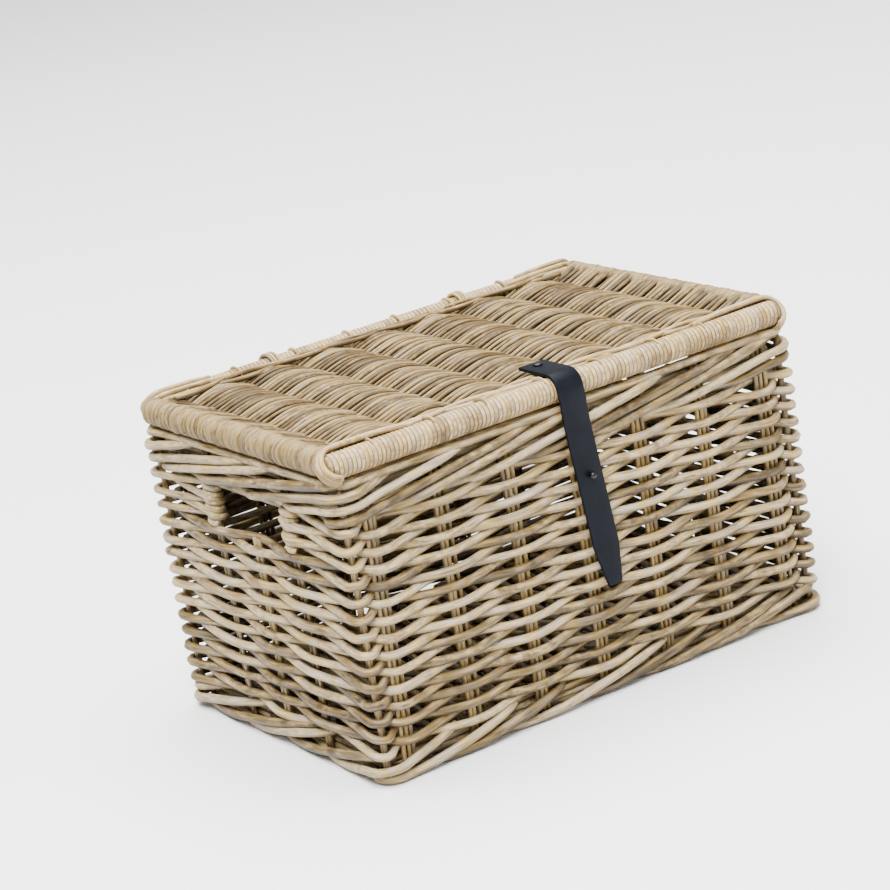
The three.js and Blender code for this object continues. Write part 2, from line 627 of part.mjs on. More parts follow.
// The hanging end is drawn with its fold at the origin, and leans to one side as it comes down.
const hangY = -(halfDepth + waleReach + 2 * TOUCH + strapHalf) - foldY;
const rimBelow = rimTop - lidZ;
const leanAt = (z) => -z * Math.tan(STRAP_LEAN);
const tailStops = [
  [0, -TOUCH, STRAP_WIDTH], [0, -STRAP_FOLD, STRAP_WIDTH], [hangY, rimBelow, STRAP_WIDTH],
  [hangY, -STRAP_TAIL + STRAP_TIP_LENGTH, STRAP_WIDTH], [hangY, -STRAP_TAIL, STRAP_TIP_WIDTH],
];
const tailPath = tailStops.map(([y, z]) => new THREE.Vector3(leanAt(z), y, z));
const tailWidths = tailStops.map((stop) => stop[2] / 2);
const studZ = rowZ(STUD_ROW);
const studDown = lidZ - studZ;
const studHoleRadius = STUD_BALL_RADIUS + STUD_HOLE_CLEAR;
const studHole = new THREE.CylinderGeometry(studHoleRadius, studHoleRadius, DRILL_LENGTH, 16)
  .translate(leanAt(-studDown), hangY, -studDown);
const tailSolid = cut(sweep(tailPath, X_AXIS, FLAT, strapHalf, tailWidths), studHole);
addPiece('strap_tail', tailSolid, LEATHER).position.set(STRAP_X, foldY, lidZ);

// Stud: screwed to the middle stake of the front, its ball stands just proud of the strap.
const studSeat = halfDepth + LONG_ROD_RADIUS + TOUCH;
const studNeck = -(foldY + hangY) + strapHalf + TOUCH - studSeat;
const studReach = studSeat + studNeck + 2 * STUD_BALL_RADIUS;
const ballSteps = 6;
const studProfile = [new THREE.Vector2(0, 0), new THREE.Vector2(STUD_SHANK_RADIUS, 0)];
const neckAngle = Math.asin(STUD_SHANK_RADIUS / STUD_BALL_RADIUS);
for (let i = 0; i <= ballSteps; i++) {
  const angle = neckAngle + (Math.PI - neckAngle) * i / ballSteps;
  studProfile.push(new THREE.Vector2(
    i === ballSteps ? 0 : STUD_BALL_RADIUS * Math.sin(angle),
    studNeck + STUD_BALL_RADIUS * (1 - Math.cos(angle))));
}
const stud = addPiece('strap_stud', new THREE.LatheGeometry(studProfile, 12), DARK_METAL);
stud.rotation.x = Math.PI;
stud.position.set(STRAP_X + leanAt(-studDown), -studSeat, studZ);

// The origin lies under the middle of the whole basket, from the stud's ball to the hinge loops.
const loopReach = Math.max(...loopOutline(LOOP_THICKNESS).map((point) => point.x));
basket.position.y = (studReach - loopReach) / 2;

export default basket;
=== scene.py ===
# %% [markdown]
# # A lidded rattan bicycle basket
#
# The basket is round rattan strands woven over upright stakes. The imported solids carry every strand
# as a plain four-sided rod. Here each strand is drawn again as a round, slightly uneven rod with its
# own colour, in the same place, so that the weave reads as rattan from any side.

import bpy
import numpy as np
from mathutils import Matrix, Vector


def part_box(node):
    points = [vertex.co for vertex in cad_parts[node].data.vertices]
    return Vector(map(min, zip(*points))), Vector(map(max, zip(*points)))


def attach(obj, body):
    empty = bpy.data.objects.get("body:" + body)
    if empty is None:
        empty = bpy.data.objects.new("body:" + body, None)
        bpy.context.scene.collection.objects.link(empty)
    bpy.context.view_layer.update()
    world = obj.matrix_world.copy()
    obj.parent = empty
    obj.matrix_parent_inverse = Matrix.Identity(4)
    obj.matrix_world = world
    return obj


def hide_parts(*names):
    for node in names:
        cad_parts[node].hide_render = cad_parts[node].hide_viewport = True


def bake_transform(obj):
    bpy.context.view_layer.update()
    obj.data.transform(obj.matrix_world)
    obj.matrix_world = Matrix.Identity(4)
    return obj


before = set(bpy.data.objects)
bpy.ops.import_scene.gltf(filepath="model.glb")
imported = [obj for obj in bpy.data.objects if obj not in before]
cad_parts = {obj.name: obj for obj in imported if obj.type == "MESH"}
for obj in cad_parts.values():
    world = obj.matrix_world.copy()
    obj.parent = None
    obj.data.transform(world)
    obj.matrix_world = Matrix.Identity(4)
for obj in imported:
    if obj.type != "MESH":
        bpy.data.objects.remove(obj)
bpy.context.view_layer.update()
rng = np.random.default_rng(11)

# %% [markdown]
# ## The camera
#
# A long lens far away keeps the basket's edges nearly parallel, as in a catalogue picture. Three turns
# in a row would place the camera too, but their order is easy to get wrong. So it is built from three
# directions: back towards the lens, right, and up, and the last two are rolled together.

# %% Camera
IMAGE = 890
FOCAL = 3004.7
SENSOR = 36.0
AZIMUTH, ELEVATION, ROLL = np.radians([-32.78, 18.47, -9.03])
DISTANCE = 2.6423
SHIFT_X, SHIFT_Y = -41.66, 73.65
AIM = Vector((0.0, 0.0022, 0.1293))
flat_reach = np.cos(ELEVATION)
back = Vector((np.sin(AZIMUTH) * flat_reach, -np.cos(AZIMUTH) * flat_reach, np.sin(ELEVATION)))
level = Vector((np.cos(AZIMUTH), np.sin(AZIMUTH), 0.0))
steep = back.cross(level)
right = np.cos(ROLL) * level + np.sin(ROLL) * steep
upward = np.cos(ROLL) * steep - np.sin(ROLL) * level
camera = bpy.data.objects.new("camera", bpy.data.cameras.new("camera"))
bpy.context.scene.collection.objects.link(camera)
turn = Matrix((right, upward, back)).transposed().to_4x4()
camera.matrix_world = Matrix.Translation(AIM + DISTANCE * back) @ turn
camera.data.sensor_width = SENSOR
camera.data.lens = FOCAL / IMAGE * SENSOR
camera.data.shift_x = SHIFT_X / IMAGE
camera.data.shift_y = SHIFT_Y / IMAGE
camera.data.clip_end = 60.0
bpy.context.scene.camera = camera
print("lens", round(camera.data.lens, 1), "mm at", [round(v, 3) for v in camera.location])

# %% [markdown]
# ## Smooth lines and round strands
#
# Every strand is a line that bends in and out of the stakes. A Catmull-Rom curve passes through given
# points without kinks, so a few points at the stakes are enough. A round section is then carried along
# the line. A curve object with a bevel would draw the same tube, but the arrays also let each ring have
# its own radius, colour number and place along the strand.

# %% Lines
def smooth_line(points, spacing):
    """Catmull-Rom curve: between two points a cubic whose end slopes weigh the neighbouring chords by
    the roots of their lengths. Returns samples at even spacing and each one's place in the points."""
    p = np.asarray(points, float)
    q = np.vstack([2 * p[0] - p[1], p, 2 * p[-1] - p[-2]])
    knot = np.maximum(np.sqrt(np.linalg.norm(np.diff(q, axis=0), axis=1)), 1e-3)[:, None]
    d0, d1, d2 = knot[:-2], knot[1:-1], knot[2:]
    p0, p1, p2, p3 = q[:-3], q[1:-2], q[2:-1], q[3:]
    m1 = d1 * ((p1 - p0) / d0 - (p2 - p0) / (d0 + d1) + (p2 - p1) / d1)
    m2 = d1 * ((p2 - p1) / d1 - (p3 - p1) / (d1 + d2) + (p3 - p2) / d2)
    t = np.linspace(0, 1, 25)[:-1, None, None]
    curve = (2 * t**3 - 3 * t**2 + 1) * p1 + (t**3 - 2 * t**2 + t) * m1
    curve = curve + (3 * t**2 - 2 * t**3) * p2 + (t**3 - t**2) * m2
    place = t[:, :, 0] + np.arange(len(p1))[None]
    dense = np.vstack([curve.transpose(1, 0, 2).reshape(-1, 3), p[-1]])
    dense_place = np.append(place.T.ravel(), len(p) - 1)
    run = lengths(dense)
    even = np.linspace(0, run[-1], max(int(run[-1] / spacing), 3) + 1)
    line = np.column_stack([np.interp(even, run, dense[:, axis]) for axis in range(3)])
    return line, np.interp(even, run, dense_place)


def lengths(line):
    """Distance along a line at each of its points: the running sum of its steps."""
    return np.append(0, np.cumsum(np.linalg.norm(np.diff(line, axis=0), axis=1)))


def evenly(points, spacing):
    """A smooth line, and the distance of each of its samples from its start."""
    line = smooth_line(points, spacing)[0]
    return line, np.arange(len(line)) * spacing


def unit(vectors):
    """Each vector divided by its own length."""
    return vectors / np.linalg.norm(vectors, axis=-1, keepdims=True)


def uneven(run, amount, wavelength):
    """Slow wobble along a strand: three sines of random phase, so no two strands are quite alike."""
    phase = rng.uniform(0, 2 * np.pi, 3)
    longer = zip((1.0, 1.7, 2.9), phase)
    waves = [np.sin(2 * np.pi * run / (wavelength * k) + p) for k, p in longer]
    return amount * np.sum(waves, axis=0) / 1.7


bent = smooth_line([[0, 0, 0], [40, 6, 0], [80, 0, 0]], 4)[0]
print("a curve through 3 points has", len(bent), "samples")

# %% Tubes
def tube(line, radius, reference, tone, sides=8, flat=1.0):
    """Section carried along a line: ring i is
    line[i] + radius[i] * (cos a * across + flat[i] * sin a * above),
    where across is square to the line and to the reference direction. Sizes in millimetres."""
    ahead = unit(np.gradient(line, axis=0))
    across = unit(np.cross(ahead, np.asarray(reference, float)))
    above = np.cross(across, ahead)
    angle = 2 * np.pi * np.arange(sides) / sides
    radius = np.broadcast_to(np.asarray(radius, float), len(line))
    flat = np.broadcast_to(np.asarray(flat, float), len(line))
    ring = across[:, None] * np.cos(angle)[:, None]
    ring = ring + above[:, None] * (flat[:, None] * np.sin(angle))[..., None]
    tone = np.broadcast_to(np.asarray(tone, float), len(line))
    return {
        "grid": line[:, None] + ring * radius[:, None, None],
        "ends": line[[0, -1]],
        "tone": np.repeat(tone[:, None], sides, axis=1),
        "run": lengths(line) + rng.uniform(0, 900),
    }


# %% [markdown]
# ## From rings to a mesh
#
# All strands of one part of the basket go into one mesh. It could be built face by face, but the faces
# between two rings are just four index columns, so a whole strand is written at once. Each end gets a
# small fan. The mesh keeps three things for its finish: a UV map with the distance along the strand and
# the share of the way round, a number called tone that picks the strand's colour, and a number that
# tells how far a spot faces out of the basket and up. The finish makes the sides that face out and up
# paler, partly as sun bleaching and partly as painted light, and the sides that face in and down
# browner and darker, partly as dust and partly as painted shade.

# %% Facing for bleaching and painted shade, and faces
MM = 0.001


def box_mm(node):
    """Lowest and highest corner of a solid, in millimetres."""
    return np.array(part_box(node)) / MM


INSIDE_LOW, INSIDE_HIGH = box_mm("foot_ring") + [[34, 34, 40], [-34, -34, 228]]


def bleach_and_shade(grid):
    """A spot's own direction: 0.35 of its part that points away from the box inside the basket, and
    0.65 of its part up. The finish paints with it: bleaching and painted light out and up, dust and
    painted shade in and down."""
    middle_line = grid.mean(1, keepdims=True)
    spot = unit(grid - middle_line)
    away = unit(middle_line - np.clip(middle_line, INSIDE_LOW, INSIDE_HIGH) + [0, 0, 1e-6])
    return 0.35 * (spot * away).sum(-1) + 0.65 * spot[..., 2]


def tube_corners(rings, sides):
    """Ring and side of the corners of a tube's quads: (i, k), (i+1, k), (i+1, k+1), (i, k+1)."""
    i, k = np.meshgrid(np.arange(rings - 1), np.arange(sides), indexing="ij")
    ring = np.stack([i, i + 1, i + 1, i], -1).reshape(-1, 4)
    return ring, np.stack([k, k, k + 1, k + 1], -1).reshape(-1, 4)


def end_fans(rings, sides):
    """Triangles of the fans on both ends of a tube."""
    k = np.arange(sides)
    n = (k + 1) % sides
    last = (rings - 1) * sides
    return np.concatenate([
        np.stack([np.full(sides, rings * sides), k, n], -1),
        np.stack([np.full(sides, rings * sides + 1), last + n, last + k], -1),
    ])


print("a tube of 3 rings of 8 has", len(tube_corners(3, 8)[0]), "quads")

# %% Meshes from tubes
def strand_mesh(name, tubes):
    """One mesh from many tubes, with their UV map, tone and weather."""
    points, quads, fans, quad_uv, fan_uv, tones, bleach_and_shade_values = ([] for _ in range(7))
    count = 0
    for one in tubes:
        rings, sides, _ = one["grid"].shape
        points += [one["grid"].reshape(-1, 3), one["ends"]]
        ring, side = tube_corners(rings, sides)
        quads.append(ring * sides + side % sides + count)
        fans.append(end_fans(rings, sides) + count)
        u = one["run"] * MM
        quad_uv.append(np.stack([u[ring], side / sides], -1).reshape(-1, 2))
        fan_uv.append(np.tile([[u[0], 0.5]], (6 * sides, 1)))
        tones += [one["tone"].ravel(), one["tone"][[0, -1], 0]]
        # the facing of each spot, for bleaching, dust and painted light and shade in the finish
        bleach_and_shade_values += [bleach_and_shade(one["grid"]).ravel(), np.zeros(2)]
        count += rings * sides + 2
    mesh = bpy.data.meshes.new(name)
    faces = np.vstack(quads).tolist() + np.vstack(fans).tolist()
    mesh.from_pydata((np.vstack(points) * MM).tolist(), [], faces)
    uv = mesh.uv_layers.new(name="strand")
    uv.data.foreach_set("uv", np.vstack(quad_uv + fan_uv).astype(np.float32).ravel())
    for key, values in (("tone", tones), ("bleach_and_shade", bleach_and_shade_values)):
        layer = mesh.attributes.new(key, "FLOAT", "POINT")
        layer.data.foreach_set("value", np.concatenate(values).astype(np.float32))
    smooth = np.zeros(len(faces), bool)
    smooth[:sum(len(q) for q in quads)] = True
    mesh.polygons.foreach_set("use_smooth", smooth)
    return mesh


def add_piece(name, tubes, body, nodes, finish):
    """Places the mesh of some tubes as a piece that rides on a body and stands for the named solids."""
    mesh = strand_mesh(name, tubes)
    piece = bpy.data.objects.new(name, mesh)
    bpy.context.scene.collection.objects.link(piece)
    mesh.materials.append(finish)
    if body:
        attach(piece, body)
    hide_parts(*nodes)
    triangles = sum(len(p.vertices) - 2 for p in mesh.polygons)
    print(name, "stands for", len(nodes), "nodes with", triangles, "triangles")
    return piece


# %% [markdown]
# ## Rattan
#
# Rattan is a climbing palm. Its peeled core is pale straw with fine fibres along it, grey where it has
# weathered and honey brown where the skin was near, and it has a darker ring at each old leaf. A picture
# of rattan would repeat and would not follow the strands. So one node group draws all of that from the
# strand's UV map, tone and facing, and each rattan finish sets its own three colours. The group also
# paints light and shade into the colour: sides that face out and up are paler, partly as bleaching and
# partly as painted light; sides that face in and down are darker, partly as dust and partly as painted
# shade; and a tone above 1.1 is painted shade in a groove.

# %% Node helpers
def set_inputs(tree, node, inputs):
    """Each named input of a node is linked where it is given a socket, and set where it is a value."""
    for key, value in dict(inputs).items():
        if isinstance(value, bpy.types.NodeSocket):
            tree.links.new(value, node.inputs[key])
        else:
            node.inputs[key].default_value = value


def add_node(tree, kind, inputs=(), **settings):
    """A node with its settings and its inputs."""
    node = tree.nodes.new(kind)
    for key, value in settings.items():
        setattr(node, key, value)
    set_inputs(tree, node, inputs)
    return node


def reckon(tree, kind, a, b=0.0):
    """The output of a Math node."""
    return add_node(tree, "ShaderNodeMath", {0: a, 1: b}, operation=kind).outputs[0]


def stretch(tree, value, low, high, to_low=0.0, to_high=1.0):
    """The output of a Map Range node: low to high becomes to_low to to_high, clamped."""
    spans = {0: value, 1: low, 2: high, 3: to_low, 4: to_high}
    return add_node(tree, "ShaderNodeMapRange", spans, clamp=True).outputs[0]


def mixed(tree, share, first, second):
    """The output of a Mix node for two colours."""
    colours = {0: share, 6: first, 7: second}
    return add_node(tree, "ShaderNodeMix", colours, data_type="RGBA").outputs[2]


def new_finish(name):
    """A material with nodes: the material, its node tree and its Principled shader."""
    material = bpy.data.materials.new(name)
    material.use_nodes = True
    return material, material.node_tree, material.node_tree.nodes["Principled BSDF"]


# %% Rattan node group
GREY_TINT = (0.96, 1.0, 1.14, 1)
HONEY_TINT = (1.05, 0.98, 0.68, 1)
LEAVES_PER_METRE = 5.1


def rattan_sockets(tree):
    """The named inputs and outputs of the rattan group."""
    given = {"UV": "Vector", "Tone": "Float", "Bleach_and_shade": "Float", "Dust_and_shade_level": "Float",
             "Pale": "Color", "Honey": "Color", "Brown": "Color"}
    made = {"Color": "Color", "Height": "Float", "Rough": "Float"}
    for side, sockets in (("INPUT", given), ("OUTPUT", made)):
        for name, kind in sockets.items():
            tree.interface.new_socket(name=name, in_out=side, socket_type="NodeSocket" + kind)


def rattan_group():
    """Colour, height and roughness of rattan from a strand's UV, tone and facing; the colour holds
    painted light and shade.
    """
    tree = bpy.data.node_groups.new("rattan", "ShaderNodeTree")
    rattan_sockets(tree)
    given = tree.nodes.new("NodeGroupInput").outputs
    split = add_node(tree, "ShaderNodeSeparateXYZ", {0: given["UV"]}).outputs
    along, around, tone = split[0], split[1], given["Tone"]

    def times(a, b):
        """The product of two sockets or values."""
        return reckon(tree, "MULTIPLY", a, b)

    def plus(a, b):
        """The sum of two sockets or values."""
        return reckon(tree, "ADD", a, b)

    def noise(along_scale, around_scale, seed_scale, detail):
        """Noise on the strand's skin: along it, round it, and another one for every tone."""
        place = {0: times(along, along_scale), 1: times(around, around_scale), 2: times(tone, seed_scale)}
        place = add_node(tree, "ShaderNodeCombineXYZ", place).outputs[0]
        return add_node(tree, "ShaderNodeTexNoise", {
            "Vector": place, "Scale": 1.0, "Detail": detail, "Roughness": 0.6}).outputs["Fac"]

    def swing(value, amount):
        """A noise that swings about zero."""
        return times(plus(value, -0.5), amount)

    patch = noise(14.0, 1.2, 90.0, 2.0)
    streak = noise(22.0, 6.0, 40.0, 3.0)
    fibre = noise(45.0, 15.0, 60.0, 3.0)
    # the facing shifts the colour: paler out and up, as bleaching and painted light; browner in and down,
    # as painted shade
    shift = plus(plus(swing(patch, 0.9), swing(streak, 1.8)), times(given["Bleach_and_shade"], -0.3))
    shade = plus(plus(tone, 0.12), shift)
    warm = mixed(tree, stretch(tree, shade, 0.12, 0.62), given["Pale"], given["Honey"])
    warm = mixed(tree, stretch(tree, shade, 0.58, 1.1), warm, given["Brown"])
    hue = stretch(tree, noise(5.0, 0.6, 230.0, 1.0), 0.42, 0.58)
    tint = mixed(tree, hue, GREY_TINT, HONEY_TINT)
    warm = add_node(tree, "ShaderNodeVectorMath", {0: warm, 1: tint}, operation="MULTIPLY").outputs[0]
    leaf = reckon(tree, "FRACT", plus(times(along, LEAVES_PER_METRE), times(tone, 7.3)))
    ring = stretch(tree, reckon(tree, "ABSOLUTE", plus(leaf, -0.5)), 0.003, 0.03, 1.0, 0.0)
    dark = stretch(tree, fibre, 0.32, 0.62, 0.56, 1.20)
    dark = times(dark, stretch(tree, ring, 0.0, 1.0, 1.0, 0.8))
    # painted shade in grooves: a tone above 1.1 darkens the colour
    painted_groove_shade = stretch(tree, tone, 1.1, 1.9, 1.0, 0.3)
    # dust and painted shade: the sides that face in and down are darkened
    dust_and_shade = stretch(tree, given["Bleach_and_shade"], -0.05, 0.7, given["Dust_and_shade_level"], 1.0)
    dark = times(times(dark, dust_and_shade), painted_groove_shade)
    colour = add_node(tree, "ShaderNodeVectorMath", {0: warm, "Scale": dark}, operation="SCALE")
    height = plus(plus(times(fibre, 0.6), times(streak, 0.4)), times(ring, 0.5))
    rough = stretch(tree, streak, 0.0, 1.0, 0.38, 0.60)
    made = tree.nodes.new("NodeGroupOutput")
    set_inputs(tree, made, {"Color": colour.outputs[0], "Height": height, "Rough": rough})
    return tree


RATTAN = rattan_group()
print("rattan group has", len(RATTAN.nodes), "nodes")

# %% Rattan finishes
def rattan(name, pale, honey, brown, dust_and_shade_level, specular):
    """A rattan finish with its own three colours. The fifth argument tells how bright dust and painted
    shade leave the sides that face in and down.
    """
    material, tree, shader = new_finish(name)
    layers = {key: add_node(tree, "ShaderNodeAttribute", attribute_name=key).outputs["Fac"]
              for key in ("tone", "bleach_and_shade")}
    group = add_node(tree, "ShaderNodeGroup", {
        "UV": add_node(tree, "ShaderNodeUVMap", uv_map="strand").outputs[0],
        "Tone": layers["tone"], "Bleach_and_shade": layers["bleach_and_shade"], "Dust_and_shade_level": dust_and_shade_level,
        "Pale": (*pale, 1.0), "Honey": (*honey, 1.0), "Brown": (*brown, 1.0),
    }, node_tree=RATTAN).outputs
    bump = add_node(tree, "ShaderNodeBump", {
        "Height": group["Height"], "Strength": 0.35, "Distance": 0.0006})
    set_inputs(tree, shader, {
        "Base Color": group["Color"], "Roughness": group["Rough"], "Normal": bump.outputs[0],
        "Specular IOR Level": specular})
    return material


# the fifth number of each finish sets how bright dust and painted shade leave the sides that face in and
# down
WALL_RATTAN = rattan("wall_rattan", (0.48, 0.370, 0.223), (0.245, 0.168, 0.073),
                     (0.062, 0.041, 0.017), 0.50, 0.35)
STAKE_RATTAN = rattan("stake_rattan", (0.38, 0.275, 0.125), (0.250, 0.168, 0.066),
                      (0.085, 0.052, 0.020), 0.6, 0.35)
LID_RATTAN = rattan("lid_rattan", (0.268, 0.190, 0.093), (0.118, 0.074, 0.028),
                    (0.052, 0.032, 0.012), 0.75, 0.2)
PEEL = rattan("rattan_peel", (0.44, 0.322, 0.176), (0.265, 0.173, 0.072),
              (0.090, 0.055, 0.021), 0.75, 0.3)
print("rattan finishes", [m.name for m in (WALL_RATTAN, STAKE_RATTAN, LID_RATTAN, PEEL)])

# %% [markdown]
# ## The stations of the wall
#
# Going round the basket, a strand meets a corner post, the stakes of a wall, the next corner post, and
# so on: twenty-four stations. Their places could be typed in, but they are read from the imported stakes,
# so the weave stays on them.

# %% Stations
WALLS = [("front", 7, (0, -1)), ("right", 3, (1, 0)), ("back", 7, (0, 1)), ("left", 3, (-1, 0))]
POSTS = ["corner_post_" + where for where in ("front_left", "front_right", "back_right", "back_left")]
POST_HALF, LONG_HALF, END_HALF = 3.0, 1.8, 2.2
POST_DIP, LONG_DIP, END_DIP = 0.9, 1.9, 0.7


def middle(node):
    """Centre of a solid's box, in millimetres."""
    return box_mm(node).mean(0)


MID_Y = (middle("front_stake_4")[1] + middle("back_stake_4")[1]) / 2
stations = []
for post, (wall, count, normal) in zip(POSTS, WALLS):
    outward = np.sign(middle(post)[:2] - [0, MID_Y]) / np.sqrt(2)
    stations.append((post, outward, POST_HALF, 0, POST_DIP))
    half, dip = (LONG_HALF, LONG_DIP) if count == 7 else (END_HALF, END_DIP)
    for i in range(1, count + 1):
        lean = {1: -1, 7: 1}.get(i, 0) if count == 7 else 0
        stations.append((f"{wall}_stake_{i}", np.array(normal, float), half, lean, dip))
names, normals, halves, leans, dips = zip(*stations)
centres = np.array([middle(n)[:2] for n in names])
normals = np.array(normals)
alongs = np.column_stack([-normals[:, 1], normals[:, 0]])
STATIONS = len(names)
print(STATIONS, "stations, from", names[0], "to", names[-1])

# %% [markdown]
# ## Randing: the walls
#
# The walls are randed: a strand passes in front of one stake and behind the next, and a second strand
# does the opposite one row higher. The two chase each other round the basket and climb a row pair on the
# back wall. Each strand dips a little in front of a stake and lifts behind it. A shader with a weave
# pattern would stay flat at the edge of the picture, so the real strands are modelled.

# %% Rows of weave
STRAND = 3.9
FIRST_ROW = box_mm("wall_weaver_a_lower")[0, 2] + 3.5
ROW = 7.4
TOP_ROW = 21
CLIMB = 15
CORNER_ARCS = {0: (200, 237, 274), 8: (266, 303, 340), 12: (20, 57, 94), 20: (86, 123, 160)}
LONG_PRESS, END_PRESS = 0.2, 1.4
OUTER_CLEAR, INNER_CLEAR = 0.5, 2.0
LEAN_STEP = 2.5


def row_height(row):
    """Height of the middle of a row of weave."""
    return FIRST_ROW + ROW * row


def hug(i, side):
    """Plan points of a strand beside a station: in front of it for side 1, behind it for side -1."""
    if i in CORNER_ARCS and side > 0:
        angle = np.radians(CORNER_ARCS[i])
        spoke = np.column_stack([np.cos(angle), np.sin(angle)])
        return centres[i] + spoke * (halves[i] + STRAND + OUTER_CLEAR)
    if i in CORNER_ARCS:
        return centres[i][None] - normals[i] * (halves[i] + STRAND + INNER_CLEAR)
    press = LONG_PRESS if halves[i] == LONG_HALF else END_PRESS
    reach = side * (halves[i] + STRAND - press)
    return centres[i][None] + normals[i] * reach + alongs[i] * leans[i] * LEAN_STEP


def at_height(plan, z):
    """Plan points lifted to a height."""
    return np.column_stack([plan, np.full(len(plan), z)])


def round_and_round(first, rounds, second):
    """Points of a weaver that goes round and climbs a row pair at the back, and the side of each.
    It starts and ends behind a stake of the back wall, where its next length goes on."""
    points, sides = [], []
    join = CLIMB + (1 if second else 2)
    for s in range(join - STATIONS, (rounds - 1) * STATIONS + join + 1):
        turn_no, i = divmod(s, STATIONS)
        rise = first + turn_no + np.clip((i - CLIMB) / 2, 0, 1)
        row = min(2 * rise + second, TOP_ROW)
        side = 1 if (i % 2 == 0) != second else -1
        plan = hug(i, side)
        points.append(at_height(plan, row_height(row) - dips[i] * side))
        sides += [side] * len(plan)
    return np.vstack(points), np.array(sides)


print("rows from", round(row_height(0), 1), "to", round(row_height(TOP_ROW), 1), "mm")

# %% Wall weavers
def strand_numbers(sides):
    """A strand is a few metres long, so a new one starts now and then, each time behind a stake."""
    return np.cumsum((sides < 0) & (rng.random(len(sides)) < 0.085))


def strand_tones(count):
    """Tones of that many strands: most pale to honey, a few quite brown."""
    values = rng.beta(1.0, 1.1, count) * 0.85
    return np.where(rng.random(count) < 0.05, 0.95, values)


def woven(points, sides, spacing=4.4):
    """A weaving strand: its line with small wobbles of height and radius, and its tones."""
    jitter = rng.normal(0, [0.3, 0.3, 0.6], points.shape)
    line, place = smooth_line(points + jitter, spacing)
    run = np.arange(len(line)) * spacing
    number = strand_numbers(sides)
    number = number[np.minimum(place.astype(int), len(sides) - 1)]
    tone = strand_tones(number[-1] + 1)[number]
    thick = rng.normal(1.0, 0.06, number[-1] + 1)[number]
    thick = np.convolve(np.pad(thick, 6, "edge"), np.ones(13) / 13, "valid")
    thick = STRAND * thick * (1 + uneven(run, 0.03, 300))
    return tube(line, thick, (0, 0, 1), tone + uneven(run, 0.08, 240))


for letter, second in (("a", False), ("b", True)):
    for part, first, rounds in (("lower", 0, 6), ("upper", 6, 5)):
        node = f"wall_weaver_{letter}_{part}"
        strands = [woven(*round_and_round(first, rounds, second))]
        add_piece(node + "_rattan", strands, "basket", [node], WALL_RATTAN)

# %% [markdown]
# Beside the hand holes one strand runs to and fro along the long wall and turns back round the stakes at
# the holes' edges. It takes extra turns round those stakes, so that the jambs are closed and smooth to
# the hand. A plain tube down the edge would look like a pipe, so the turns are a helix.

# %% Weavers beside the hand holes
HOLE_ROW = 22
HOLE_ROWS = 5
JAMB_ACROSS, JAMB_DEEP = 8.0, 4.7
JAMB_STRAND, JAMB_RISE = 3.3, 6.4


def to_and_fro(start, count):
    """Points of a weaver that runs over count stations and back, row by row, turning at its ends."""
    points, sides = [], []
    route = [(start + k) % STATIONS for k in range(count)]
    for row in range(HOLE_ROWS):
        z = row_height(HOLE_ROW + row)
        forward = row % 2 == 0
        for i in route if forward else route[::-1]:
            side = 1 if (i % 2 == 0) == forward else -1
            plan = hug(i, side)
            points.append(at_height(plan if forward else plan[::-1], z - dips[i] * side))
            sides += [side] * len(plan)
        if row < HOLE_ROWS - 1:
            bend = np.radians([49, 0, -49]) * side
            reach = (1 if forward else -1) * (2 * halves[i] + STRAND - 2.0)
            plan = centres[i] + alongs[i] * reach * np.cos(bend)[:, None]
            plan = plan + normals[i] * (halves[i] + STRAND + 1.0) * np.sin(bend)[:, None]
            points.append(np.column_stack([plan, z + ROW * np.array([0.25, 0.5, 0.75])]))
            sides += [1, 1, 1]
    return np.vstack(points), np.array(sides)


def jamb(i, toward):
    """Turns round the stake at a hand hole: an oval helix, a little off the stake's middle."""
    turns = np.linspace(0.1, 5.6, 80)
    across = JAMB_ACROSS * np.cos(2 * np.pi * turns) - toward
    plan = centres[i] + alongs[i] * across[:, None]
    plan = plan + normals[i] * (JAMB_DEEP * np.sin(2 * np.pi * turns))[:, None]
    line, run = evenly(np.column_stack([plan, row_height(21.6) + turns * JAMB_RISE]), 3.0)
    return tube(line, JAMB_STRAND, (0, 0, 1), rng.uniform(0.1, 0.5) + uneven(run, 0.2, 90))


for wall, start in (("front", 23), ("back", 11)):
    node = f"{wall}_hole_weaver"
    strands = [woven(*to_and_fro(start, 11)), jamb(start, -1), jamb((start + 10) % STATIONS, 1)]
    add_piece(node + "_rattan", strands, "basket", [node], WALL_RATTAN)

# %% [markdown]
# ## Stakes and corner posts
#
# A stake of a long wall is three thin rods side by side, a stake of an end is two thicker ones, and one
# stout rod stands in each corner. One flat bar would do from afar, but the rods show between the
# strands, so each is a tube with a slight bow. The middle stakes of the ends stop at the hand holes.

# %% Stakes
RIM_REACH = 230


def rod_line(x, y, low, high):
    """A nearly straight upright line with a slight bow."""
    z = np.linspace(low, high, 24)
    bow = np.column_stack([uneven(z, 0.35, 190), uneven(z, 0.35, 190)])
    return np.column_stack([x + bow[:, 0], y + bow[:, 1], z])


def stake_rods(i):
    """The rods of one station."""
    low, high = box_mm(names[i])[:, 2]
    count, radius = {POST_HALF: (1, 3.0), LONG_HALF: (3, 2.1), END_HALF: (2, 2.3)}[halves[i]]
    rods = []
    for k in range(count):
        step = k - (count - 1) / 2 + rng.normal(0, 0.06)
        x, y = centres[i] + alongs[i] * step * radius * 2.2
        top = high + rng.uniform(-3.0, 0.0) if high > RIM_REACH else high - rng.uniform(0.0, 1.5)
        line = rod_line(x, y, low, top)
        rods.append(tube(line, radius, alongs[i].tolist() + [0], rng.uniform(0.05, 0.75)))
    return rods


